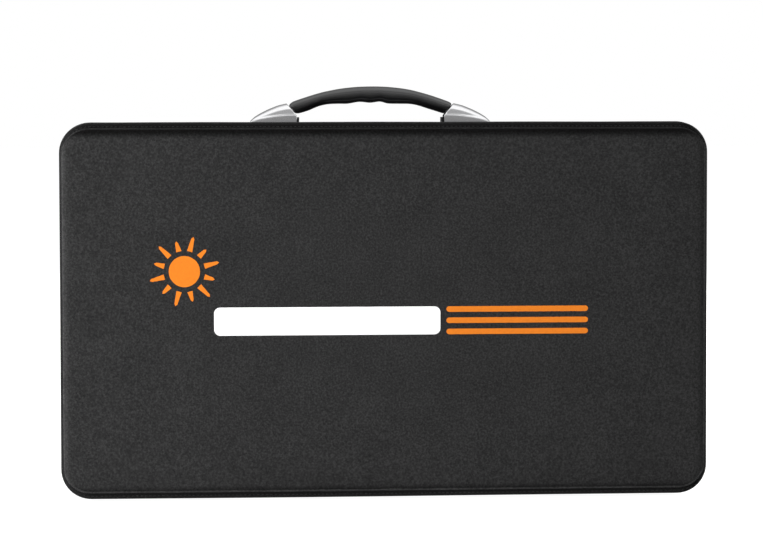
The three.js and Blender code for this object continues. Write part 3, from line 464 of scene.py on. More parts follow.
def outline(inset, corner=16, step=8.0):
    """Rounded-rectangle loop in X and Z with even points on its straight runs,
    and for each point its outward direction. Starts on the right, going up."""
    w, h, r = CASE_W / 2 - inset, CASE_H / 2 - inset, R - inset
    nx, nz = max(int((CASE_W - 2 * R) / step), 2), max(int((CASE_H - 2 * R) / step), 2)
    pts, nrm = [], []

    def run(a, b, n, d):
        for i in range(1, n):
            t = i / n
            pts.append((a[0] + (b[0] - a[0]) * t, a[1] + (b[1] - a[1]) * t))
            nrm.append(d)

    cs = [((w - r, h - r), 0), ((-w + r, h - r), 90), ((-w + r, -h + r), 180), ((w - r, -h + r), 270)]
    for (cx, cz), a0 in cs:
        for i in range(corner + 1):
            a = math.radians(a0 + 90 * i / corner)
            pts.append((cx + r * math.cos(a), cz + r * math.sin(a)))
            nrm.append((math.cos(a), math.sin(a)))
        if a0 == 0:
            run((w - r, h), (-w + r, h), nx, (0, 1))
        if a0 == 90:
            run((-w, h - r), (-w, -h + r), nz, (-1, 0))
        if a0 == 180:
            run((-w + r, -h), (w - r, -h), nx, (0, -1))
        if a0 == 270:
            run((w, -h + r), (w, h - r), nz, (1, 0))
    p = np.array(pts)
    p[:, 1] += CASE_H / 2
    return p, np.array(nrm)


_rng = np.random.default_rng(11)
_WAVES = [(_rng.uniform(0.02, 0.085) * np.array([math.cos(a), math.sin(a)]), _rng.uniform(0, 6.28)) for a in _rng.uniform(0, 6.28, 14)]


def ripple(x, z):
    """Slow unevenness of cloth over board, about -1 to 1."""
    s = 0
    for k, ph in _WAVES:
        s = s + np.sin(k[0] * x + k[1] * z + ph)
    return s / 5.0


def crown(x, z):
    """How far a face stands proud of its edge, in millimetres."""
    u = np.clip(1 - (np.abs(x) / (CASE_W / 2 - EDGE)) ** 2.6, 0, 1)
    w = np.clip(1 - (np.abs(z - CASE_H / 2) / (CASE_H / 2 - EDGE)) ** 2.6, 0, 1)
    return 1.3 * np.sqrt(u * w) + 0.10 * ripple(x, z) * np.minimum(1, 3 * u * w)


# --------------------------------------------------------------- case halves
def edge_drop(P, N):
    """How far in from the outline the welt seam runs: wider along the bottom."""
    down = np.clip(-N[:, 1], 0, 1)
    up = np.clip(N[:, 1], 0, 1)
    return down, up


def seam_angle(P, N):
    """Angle on the edge's round, from the face, where the seam sits: near the face low down, further out on the sides and top."""
    down, up = edge_drop(P, N)
    return 37 - 24 * down - 12 * up


def settle(loops):
    """The cloth hangs a little full low down on the sides and along the bottom."""
    for q in loops:
        q = q if isinstance(q, np.ndarray) else np.asarray(q)
        x, z = q[:, 0].copy(), q[:, 2].copy()
        low = np.clip(1 - z / CASE_H, 0, 1) ** 1.2
        side = np.clip((np.abs(x) - 250) / 60, 0, 1)
        q[:, 0] += np.sign(x) * 1.7 * low * side * side * (3 - 2 * side)
        # only at the front, so that the two halves' bottoms lie flat together when the case is open
        foot = np.clip(1 - z / 28.0, 0, 1) ** 2 * np.clip((-q[:, 1] - 20) / 12, 0, 1)
        q[:, 2] -= 0.55 * foot * np.exp(-((x + 90) / 190.0) ** 2)


def case_half(side, body, node, name):
    P0, N0 = outline(0.0)
    down, up = edge_drop(P0, N0)
    # angle on the fillet (0 at the face, 90 at the side wall) where the seam sits
    a_c = seam_angle(P0, N0)
    a_c = np.convolve(np.r_[a_c[-3:], a_c, a_c[:3]], np.ones(7) / 7, "valid")
    depth_c = 0.75 * (1 - 0.6 * up)
    loops = []

    def ring(inset, y, out=0.0):
        """inset and y may vary round the loop; out moves along the outward direction."""
        inset = np.broadcast_to(np.asarray(inset, float), (len(P0),))
        y = np.broadcast_to(np.asarray(y, float), (len(P0),))
        # each point moves in along its outward direction
        q = P0 - N0 * (inset - out)[:, None]
        # the straight sides of a deep inset get shorter, so corners stay round
        return np.stack([q[:, 0], side * y, q[:, 1]], 1)

    # face: shrinking copies of the fillet's inner loop
    base = ring(EDGE, HALF_D)
    c = np.array([0, 0, CASE_H / 2])
    ts = np.r_[0.02, np.linspace(0.07, 0.93, 24), 0.955, 0.972, 0.985, 0.995]
    for t in ts:
        q = c + (base - c) * t
        q[:, 1] = side * (HALF_D + crown(q[:, 0], q[:, 2]) * (1.0 if side < 0 else 0.6))
        loops.append(q)
    loops.append(base)

    def fillet(a_deg, lift):
        a = np.radians(a_deg)
        ins = EDGE * (1 - np.sin(a)) - lift * np.sin(a)
        y = HALF_D - EDGE * (1 - np.cos(a)) + lift * np.cos(a)
        return ring(ins, y)

    for f in (0.35, 0.62, 0.8):
        loops.append(fillet(a_c * f, 0.12 * f))
    for d, lift in ((-4.2, 0.28), (-2.4, 0.22), (-1.2, -0.30), (0.0, -1.0), (1.4, -0.42), (3.2, 0.18), (6.0, 0.34), (10.0, 0.22)):
        loops.append(fillet(a_c + d, np.where(lift < 0, lift * depth_c, lift)))
    for f in np.linspace(0.18, 1.0, 8):
        a = (a_c + 10) + (90 - a_c - 10) * f
        loops.append(fillet(a, 0.2 * (1 - f)))
    s = np.arange(len(P0))
    for y, swell in ((26, 0.25), (21, 0.45), (16, 0.5), (11, 0.4), (7.6, 0.15)):
        w = (swell + 0.12 * np.sin(s * 0.31 + y) * np.abs(N0[:, 0] + N0[:, 1])) * (1 - down)
        loops.append(ring(-w, y))
    # rolled edge beside the zip, then the groove the tape lies in
    for ins, y in ((0.0, 6.4), (0.12, 5.8), (0.45, 5.35), (1.0, 5.1), (1.8, 5.0), (GROOVE_IN, 5.0), (GROOVE_IN, 0.8), (GROOVE_IN + 0.25, 0.4), (GROOVE_IN + 0.8, 0.3),
                   (5.4, 0.3), (5.85, 0.5), (6.0, 1.0), (6.0, 12.0), (6.0, 24.0), (6.0, 34.6), (6.4, 35.6), (7.2, 36.0)):
        loops.append(ring(ins, y))
    for t in (0.9, 0.6, 0.3, 0.03):
        q = c + (ring(7.2, 36.0) - c) * t
        q[:, 1] = side * 36.0
        loops.append(q)
    settle(loops)
    o = loft(name, loops, "case_fabric")
    co = np.empty(len(o.data.vertices) * 3, np.float32)
    o.data.vertices.foreach_get("co", co)
    co = co.reshape(-1, 3) / MM
    off = np.abs(co[:, 1] - YM / MM)
    dx, dz = np.abs(co[:, 0]) - (CASE_W / 2 - R), np.abs(co[:, 2] - CASE_H / 2) - (CASE_H / 2 - R)
    ins = R - np.where((dx > 0) & (dz > 0), np.hypot(dx, dz), np.maximum(dx, dz))
    h_ = np.maximum(np.hypot(np.maximum(dx, 0), np.maximum(dz, 0)), 1e-6)
    nz = np.maximum(dz, 0) / h_ * np.sign(co[:, 2] - CASE_H / 2)
    low_, high_ = np.clip(-nz, 0, 1) ** 2, np.clip(nz, 0, 1) ** 2
    # insets where the painted shade starts and where it is complete, wider along the top and the bottom
    d0 = 3.4 + 13.0 * low_ + 13.6 * high_
    d1 = 0.9 + 5.4 * low_ + 8.0 * high_
    t = np.clip((ins - d1) / (d0 - d1), 0, 1)
    shade = 1 - t * t * (3 - 2 * t)
    # the painted shade is stronger along the top and the bottom
    shade *= 1 + 0.25 * high_ + 0.2 * low_
    # darker towards the bottom of the case
    foot = np.clip((60 - co[:, 2]) / 50, 0, 1)
    shade = np.maximum(shade, 0.2 * foot * foot)
    # painted highlight on the fold of cloth beside the seam down the sides, strongest on the left
    shade -= 0.42 * (1 - low_ - high_) * np.exp(-((ins - 4.8) / 1.9) ** 2) * np.where(co[:, 0] < 0, 1.0, 0.35)
    # painted shade on the side walls, darkest on the top wall
    shade = np.where(off < HALF_D - EDGE, 0.25 + 0.65 * high_, shade)
    att = o.data.attributes.new("shade", "FLOAT", "POINT")
    att.data.foreach_set("value", shade.astype(np.float32))
    sharp(o, 55)
    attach(o, body)
    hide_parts(node)
    return o


case_half(1, "back_half", "back_shell", "back_case_half")
case_half(-1, "lid_half", "lid_shell", "front_case_half")


def edge_piping(side, body, name):
    """A thin raised fold of cloth that runs along the seam."""
    P, N = outline(0.0)
    a = np.radians(np.convolve(np.r_[seam_angle(P, N)[-3:], seam_angle(P, N), seam_angle(P, N)[:3]], np.ones(7) / 7, "valid") + 1.5)
    C_ = P - N * (EDGE * (1 - np.sin(a)))[:, None]
    y = HALF_D - EDGE * (1 - np.cos(a))
    s_ = np.arange(len(P))
    lift = 0.12 + 0.05 * np.sin(s_ * 0.9) + 0.04 * np.sin(s_ * 0.37 + 1)
    loops = []
    for u, h in ((-1.25, -0.5), (-0.95, 0.08), (-0.5, 0.42), (0.0, 0.55), (0.5, 0.42), (0.95, 0.08), (1.25, -0.5), (0.0, -0.9)):
        k = EDGE + h + lift * (h > 0)
        b = a + u / EDGE
        q = P - N * (EDGE - k * np.sin(b))[:, None]
        loops.append(np.stack([q[:, 0], side * (HALF_D - EDGE + k * np.cos(b)), q[:, 1]], 1))
    settle(loops)
    o = loft(name, loops, "piping", ring=True)
    up = np.clip(N[:, 1], 0, 1)
    left = np.clip(-N[:, 0], 0, 1)
    # painted shade along the top and the bottom of the seam, and a painted highlight down the left side
    tone = np.tile(1.0 * np.sqrt(up) + 0.35 * np.clip(-N[:, 1], 0, 1) - 0.35 * left, len(loops))
    att = o.data.attributes.new("shade", "FLOAT", "POINT")
    if len(tone) == len(o.data.vertices):
        att.data.foreach_set("value", tone.astype(np.float32))
    sharp(o, 60)
    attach(o, body)
    return o


edge_piping(-1, "lid_half", "front_edge_piping")
edge_piping(1, "back_half", "back_edge_piping")


def seam_stitches(side, body, name, pitch=4.3):
    """Lock stitches along the edge band, sunk a little in the cloth."""
    P, N = outline(0.0, 40, 2.0)
    down, up = edge_drop(P, N)
    A_ = np.radians(seam_angle(P, N) + 13 + 11 * down)
    A_ = np.convolve(np.r_[A_[-4:], A_, A_[:4]], np.ones(9) / 9, "valid")
    Q = P - N * (EDGE * (1 - np.sin(A_)) - 0.18)[:, None]
    Y_ = HALF_D - EDGE * (1 - np.cos(A_)) + 0.12
    seg = np.linalg.norm(np.roll(Q, -1, 0) - Q, axis=1)
    S = np.r_[0, np.cumsum(seg)]
    n = int(S[-1] / pitch)
    Ac, Yc = np.r_[A_, A_[0]], np.r_[Y_, Y_[0]]
    parts = []
    Qc = np.vstack([Q, Q[:1]])
    for k in range(n):
        s0 = (k + 0.5) * S[-1] / n
        pts = []
        for d in (-1.45, -1.1, -0.4, 0.4, 1.1, 1.45):
            s = (s0 + d) % S[-1]
            x = np.interp(s, S, Qc[:, 0])
            z = np.interp(s, S, Qc[:, 1])
            pts.append((x, side * np.interp(s, S, Yc), z))
        a = float(np.interp(s0 % S[-1], S, Ac))
        nx = np.interp(s0 % S[-1], S, np.r_[N[:, 0], N[0, 0]])
        nz = np.interp(s0 % S[-1], S, np.r_[N[:, 1], N[0, 1]])
        pts = np.array(pts)
        for i, d in enumerate((-0.5, -0.12, 0.05, 0.05, -0.12, -0.5)):
            pts[i] += np.array([nx * math.sin(a), side * math.cos(a), nz * math.sin(a)]) * d
        settle([pts])
        parts.append(tube_part(pts, [0.16, 0.3, 0.34, 0.34, 0.3, 0.16], 6))
    o = merge(name, parts, "edge_thread")
    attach(o, body)
    return o


seam_stitches(-1, "lid_half", "front_edge_stitching")
seam_stitches(1, "back_half", "back_edge_stitching")


# --------------------------------------------------------------------- print
def face_y(x, z):
    return -(HALF_D + crown(np.asarray(x, float), np.asarray(z, float)))


def printed(name, polys, mat, lift=0.16, cell=5.0):
    """Thin ink film on the front face. polys are closed outlines in X and Z."""
    bm = bmesh.new()
    for poly in polys:
        vs = [bm.verts.new((x * MM, 0, z * MM)) for x, z in poly]
        bm.faces.new(vs)
    bmesh.ops.triangulate(bm, faces=bm.faces)
    # cut along a grid so that the film follows the crown of the face
    xs = [v.co.x for v in bm.verts]
    zs = [v.co.z for v in bm.verts]
    for axis, lo, hi in ((0, min(xs), max(xs)), (2, min(zs), max(zs))):
        c = lo + cell * MM
        while c < hi:
            no = Vector((1, 0, 0)) if axis == 0 else Vector((0, 0, 1))
            bmesh.ops.bisect_plane(bm, geom=list(bm.verts) + list(bm.edges) + list(bm.faces), plane_co=no * c, plane_no=no)
            c += cell * MM
    bmesh.ops.remove_doubles(bm, verts=bm.verts, dist=1e-7)
    front = {}
    for v in bm.verts:
        front[v] = float(face_y(v.co.x / MM, v.co.z / MM))
    top = [tuple(v.co) for v in bm.verts]
    idx = {v: i for i, v in enumerate(bm.verts)}
    faces = [[idx[v] for v in f.verts] for f in bm.faces]
    border = [[idx[v] for v in e.verts] for e in bm.edges if len(e.link_faces) == 1]
    ys = [front[v] for v in bm.verts]
    bm.free()
    n = len(top)
    V = [(x / MM, ys[i] - lift, z / MM) for i, (x, _, z) in enumerate(top)]
    V += [(x / MM, ys[i] + 0.25, z / MM) for i, (x, _, z) in enumerate(top)]
    F = [tuple(f) for f in faces] + [tuple(i + n for i in reversed(f)) for f in faces]
    F += [(a, b, b + n, a + n) for a, b in border]
    o = obj_from(name, V, F, mat, smooth=False)
    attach(o, "lid_half")
    return o


def bar(x0, x1, z0, z1, r):
    pts = []
    for cx, cz, a0 in ((x1 - r, z1 - r, 0), (x0 + r, z1 - r, 90), (x0 + r, z0 + r, 180), (x1 - r, z0 + r, 270)):
        for i in range(9):
            a = math.radians(a0 + 90 * i / 8)
            pts.append((cx + r * math.cos(a), cz + r * math.sin(a)))
    return pts


# a plain sun: a disc and twelve tapered rays
SUN_X, SUN_Z = -200.0, 228.0
disc = [(SUN_X + 15.5 * math.cos(a), SUN_Z + 15.5 * math.sin(a)) for a in np.linspace(0, 2 * math.pi, 48, endpoint=False)]
rays = []
for k in range(12):
    a = 2 * math.pi * k / 12 + math.pi / 12
    u, w = np.array([math.cos(a), math.sin(a)]), np.array([-math.sin(a), math.cos(a)])
    r1 = 35.5 if k % 2 == 0 else 31.0
    p = [u * 20.5 - w * 2.7, u * (r1 - 2) - w * 1.5, u * r1, u * (r1 - 2) + w * 1.5, u * 20.5 + w * 2.7]
    rays.append([(SUN_X + q[0], SUN_Z + q[1]) for q in p])
printed("print_sun", [disc] + rays, "print_orange")
printed("print_bar_white", [bar(-171, 54, 164, 192, 6)], "print_white")
printed("print_bars_orange", [bar(60, 202, z, z + 5.6, 2.8) for z in (164, 175.2, 186.4)], "print_orange")


# -------------------------------------------------------------- carry handle
HX, HY, SPAN, TOPZ, CAP_L = -13.0, 17.0, 245.0, CASE_H + 0.3, 48.0
CAP_H = [(0, 0.0), (2, 2.3), (5, 5.2), (11, 8.9), (19, 12.9), (29, 16.9), (38, 19.0), (48, 19.6)]
CAP_W = [(0, 2.6), (2, 4.2), (5, 6.0), (10, 8.4), (20, 10.7), (30, 11.5), (48, 11.5)]


def smooth_interp(x, table):
    xs, ys = [p[0] for p in table], [p[1] for p in table]
    # short moving average over a linear table rounds its kinks
    return sum(np.interp(np.clip(x + d, xs[0], xs[-1]), xs, ys) for d in (-1.6, -0.8, 0, 0.8, 1.6)) / 5


# half section of a cap, from the skirt's foot up to the crest: (share of half width, share of height)
CAP_SECTION = [(1.0, 0.0), (0.998, 0.12), (0.993, 0.24), (0.988, 0.335), (0.984, 0.372), (0.972, 0.40), (0.945, 0.43), (0.918, 0.475), (0.887, 0.535), (0.856, 0.60), (0.815, 0.675),
               (0.755, 0.745), (0.67, 0.815), (0.56, 0.875), (0.43, 0.93), (0.28, 0.972), (0.13, 0.993), (0.0, 1.0)]


def handle_cap(name, node, tip_x, d):
    half = CAP_SECTION
    sec = [(w, h) for w, h in half] + [(-w, h) for w, h in half[::-1][1:]]
    loops = []
    S = np.r_[0.02, 0.05, 0.09, 0.14, np.linspace(0.2, 0.94, 22), 0.965, 0.985, 0.996, 1.0]

    def end_x(hz):
        z = hz * 19.3
        return CAP_L if z < 6.6 else CAP_L - 10.0 * (z - 6.6) / 12.7

    def point(s, w, h, shrink=1.0):
        x = s * end_x(h)
        H = smooth_interp(x, CAP_H)
        W = smooth_interp(x, CAP_W)
        return np.array([x, w * W, h * H])

    for s in S:
        pts = [point(s, w, h) for w, h in sec]
        if s > 0.99:   # small round at the end's edge
            k = 0.25 if s < 1 else 0.6
            ctr = np.mean(pts, 0)
            pts = [p + (ctr - p) / np.linalg.norm(ctr - p) * k * np.array([0.2, 1, 1]) for p in pts]
        loops.append(pts)
    # rim, then the room that the grip's tongue slides in
    outer = np.array(loops[-1])
    ctr = np.array([outer[:, 0].mean(), 0, outer[:, 2].mean()])
    rim = outer.copy()
    rim[:, 1] = np.clip(rim[:, 1] * 0.80, -7.6, 7.6)
    rim[:, 2] = 3.2 + (rim[:, 2]) * (13.6 / 19.3)
    rim[:, 0] = [CAP_L if z < 6.6 else CAP_L - 10.0 * (z - 6.6) / 12.7 for z in rim[:, 2]]
    loops.append(rim)
    for back in (3.0, 9.0, 15.0):
        q = rim.copy()
        q[:, 0] -= back
        q[:, 2] = 3.2 + (q[:, 2] - 3.2) * (1 - back * 0.016)
        loops.append(q)
    L = []
    for l in loops:
        l = np.asarray(l, float)
        L.append(np.stack([tip_x + d * l[:, 0], HY + l[:, 1], TOPZ + l[:, 2]], 1))
    o = loft(name, L, "cap_metal")
    sharp(o, 38)
    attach(o, "back_half")
    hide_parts(node)
    return o


handle_cap("handle_end_cap_left", "handle_cap_left", HX - SPAN / 2, 1)
handle_cap("handle_end_cap_right", "handle_cap_right", HX + SPAN / 2, -1)

GT = [(-95.5, 17.2), (-92.9, 19.9), (-89, 21.9), (-77, 25.9), (-69, 28.4), (-61, 30.6), (-53, 32.3), (-45, 33.8), (-34, 35.2),
      (-24, 36.0), (-12, 36.3), (-3, 36.2), (5, 35.8), (17, 34.6), (27, 33.0), (37, 30.6), (49, 27.1), (61, 23.0), (67.3, 20.6), (70.0, 18.5)]
GB = [(-88.8, 9.3), (-86.4, 9.1), (-83, 9.7), (-75, 12.2), (-70, 14.4), (-63, 16.9), (-55, 18.4), (-45, 18.8), (-35.5, 18.9),
      (-24, 20.7), (-13, 19.8), (-3, 20.9), (5, 19.0), (17, 18.7), (27, 18.5), (35.5, 17.0), (45.5, 13.8), (55, 10.8), (60.2, 9.2), (62.6, 8.8)]


def grip():
    T, B = spline(GT, 6), spline(GB, 6)
    n = len(T)
    loops = []
    sides = 40
    for k in range(n):
        t = k / (n - 1)
        w = 8.7 + 2.3 * math.sin(math.pi * t) ** 0.8
        endk = min(1.0, (min(t, 1 - t) / 0.018)) ** 0.5      # rounded end corner
        mid, half = (T[k] + B[k]) / 2, (T[k] - B[k]) / 2
        sc = 0.90 + 0.10 * endk
        loop = []
        for i in range(sides):
            a = 2 * math.pi * i / sides
            c, s = math.cos(a), math.sin(a)
            e = 0.78
            cy = math.copysign(abs(c) ** e, c)
            sz = math.copysign(abs(s) ** e, s)
            # a soft parting line along each side of the moulding
            seam = 1 - 0.018 * math.exp(-((abs(s)) / 0.05) ** 2)
            p = mid + half * sz * sc
            loop.append((p[0], HY + w * cy * sc * seam, CASE_H + p[1]))
        loops.append(loop)
    o = loft("handle_grip_moulding", loops, "grip_plastic")
    sharp(o, 60)
    parts = []
    for sgn in (-1, 1):
        X = lambda q: HX + sgn * q
        sec = [(-6.4, -1.25), (6.4, -1.25), (6.4, 1.25), (-6.4, 1.25)]
        V, F = [], []
        for (dd, zz) in ((72, CASE_H + 13.1), (82, CASE_H + 9.5), (91, CASE_H + 6.4)):
            for yy, tt in sec:
                V.append((X(dd), HY + yy, zz + tt))
        F = [(0, 1, 5, 4), (1, 2, 6, 5), (2, 3, 7, 6), (3, 0, 4, 7), (4, 5, 9, 8), (5, 6, 10, 9), (6, 7, 11, 10), (7, 4, 8, 11), (3, 2, 1, 0), (8, 9, 10, 11)]
        parts.append((np.array(V), F))
    s = merge("handle_grip_core_strap", parts, "steel", smooth=False)
    add_bevel(s, 0.35, 2)
    for p in (o, s):
        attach(p, "handle")
    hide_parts("handle_grip")


grip()


# ----------------------------------------------------------------------- zip
def groove_path(inset, step):
    """Left side, top and right side of the outline at an inset, from z = 38 round to z = 38."""
    r = R - inset
    pts = [(-CASE_W / 2 + inset, 38.0), (-CASE_W / 2 + inset, CASE_H - R)]
    for i in range(1, 25):
        a = math.radians(180 - 90 * i / 24)
        pts.append((-CASE_W / 2 + R + r * math.cos(a), CASE_H - R + r * math.sin(a)))
    for i in range(0, 25):
        a = math.radians(90 - 90 * i / 24)
        pts.append((CASE_W / 2 - R + r * math.cos(a), CASE_H - R + r * math.sin(a)))
    pts.append((CASE_W / 2 - inset, 38.0))
    P = np.array(pts)
    S = np.r_[0, np.cumsum(np.linalg.norm(np.diff(P, axis=0), axis=1))]
    s = np.arange(0, S[-1], step)
    return np.stack([np.interp(s, S, P[:, 0]), np.interp(s, S, P[:, 1])], 1), s, S[-1]


def outward_at(P):
    T = np.gradient(P, axis=0)
    T /= np.linalg.norm(T, axis=1)[:, None]
    return T, np.stack([-T[:, 1], T[:, 0]], 1)


def zip_teeth(side, body):
    """Coil elements: one rounded loop per tooth, half a pitch apart in the two halves."""
    pitch = 2.0
    P, s, L = groove_path(GROOVE_IN - 1, pitch)
    T, N = outward_at(P)
    off = 0.0 if side > 0 else pitch / 2
    parts = []
    # a tooth: a squat rounded bead reaching just over the middle plane
    sec = [(-0.34, 0.0), (-0.42, 0.5), (-0.28, 0.92), (0.0, 1.06), (0.28, 0.92), (0.42, 0.5), (0.34, 0.0)]
    ys = [(2.3, 0.55), (2.0, 0.9), (1.2, 1.0), (0.35, 1.0), (-0.05, 0.92), (-0.28, 0.6)]
    for k in range(len(P)):
        t, n = T[k], N[k]
        V = []
        for y, sc in ys:
            for u, h in sec:
                q = P[k] + t * (u * sc * (1.0 if y > 0.3 else 0.95) + off) + n * (0.06 + h * sc * 1.02)
                V.append((q[0], side * y, q[1]))
        m = len(sec)
        F = []
        for a in range(len(ys) - 1):
            for i in range(m):
                j = (i + 1) % m
                F.append((a * m + i, a * m + j, (a + 1) * m + j, (a + 1) * m + i))
        F += [tuple(range(m))[::-1], tuple(range((len(ys) - 1) * m, len(ys) * m))]
        parts.append((V, F))
    o = merge(("back" if side > 0 else "front") + "_zip_teeth", parts, "zip_coil")
    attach(o, body)
    return o


def zip_tape(side, body, node):
    """Woven tape with a bead along its inner edge and a stitched outer edge."""
    P, s, L = groove_path(GROOVE_IN - 1, 3.0)
    T, N = outward_at(P)
    sec = [(0.30, -0.65), (0.30, -0.06), (0.8, 0.0), (2.2, 0.02), (2.55, 0.22), (2.95, 0.22), (3.2, 0.02), (4.3, 0.0), (4.65, 0.1), (4.65, -0.65)]
    loops = []
    for k in range(len(P)):
        loops.append([(P[k][0] + N[k][0] * h, side * y, P[k][1] + N[k][1] * h) for y, h in sec])
    o = loft(("back" if side > 0 else "front") + "_zip_tape_woven", loops, "zip_tape")
    sharp(o, 50)
    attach(o, body)
    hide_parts(node)
    # a row of stitches that holds the tape
    parts = []
    P2, s2, _ = groove_path(GROOVE_IN - 1, 4.0)
    T2, N2 = outward_at(P2)
    for k in range(len(P2)):
        pts = [(P2[k][0] + T2[k][0] * d + N2[k][0] * h, side * 3.8, P2[k][1] + T2[k][1] * d + N2[k][1] * h) for d, h in ((-1.3, -0.1), (-0.8, 0.14), (0.8, 0.14), (1.3, -0.1))]
        parts.append(tube_part(pts, [0.12, 0.2, 0.2, 0.12], 5))
    st = merge(("back" if side > 0 else "front") + "_zip_stitching", parts, "thread")
    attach(st, body)


for side, body, pre in ((1, "back_half", "back"), (-1, "lid_half", "lid")):
    zip_teeth(side, body)
    zip_tape(side, body, f"{pre}_zip_tape")


# --------------------------------------------------------------- hinge spine
def spine():
    """One woven strip along the bottom groove, stitched to both halves."""
    x0, x1 = -CASE_W / 2 + R + 2, CASE_W / 2 - R - 2
    nx, ny = 146, 17
    ys = np.linspace(-4.7, 4.7, ny)
    V = []
    for layer, t in ((0, 1.5), (1, 0.2)):
        for i in range(nx + 1):
            x = x0 + (x1 - x0) * i / nx
            for y in ys:
                # a shallow inward fold on the middle line, and slight puckers between the stitches
                z = 0.2 + 0.95 * math.exp(-(y / 1.15) ** 2) + 0.07 * math.sin(x * 1.05) * (1 - (y / 4.7) ** 2)
                V.append((x, y, z + (1.1 if layer == 0 else 0.0)))
    n = (nx + 1) * ny
    F = []
    for i in range(nx):
        for j in range(ny - 1):
            a, b, c, d = i * ny + j, (i + 1) * ny + j, (i + 1) * ny + j + 1, i * ny + j + 1
            F.append((a, b, c, d))
            F.append((n + d, n + c, n + b, n + a))
    for i in range(nx):
        a, b = i * ny, (i + 1) * ny
        F.append((a, n + a, n + b, b))
        F.append((b + ny - 1, n + b + ny - 1, n + a + ny - 1, a + ny - 1))
    for j in range(ny - 1):
        F.append((j + 1, n + j + 1, n + j, j))
        e = nx * ny
        F.append((e + j, n + e + j, n + e + j + 1, e + j + 1))
    o = obj_from("hinge_spine_fabric", V, F, "zip_tape")
    sharp(o, 60)
    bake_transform(o)
    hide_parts("back_spine", "lid_spine")
    for side, body, nm in ((1, "back_half", "back"), (-1, "lid_half", "front")):
        parts = []
        x = x0 + 3
        while x < x1 - 3:
            parts.append(tube_part([(x - 1.3, side * 3.5, 0.28), (x - 0.8, side * 3.5, 0.1), (x + 0.8, side * 3.5, 0.1), (x + 1.3, side * 3.5, 0.28)], [0.1, 0.17, 0.17, 0.1], 5))
            x += 4.2
        st = merge(nm + "_spine_stitching", parts, "thread")
        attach(st, body)


spine()


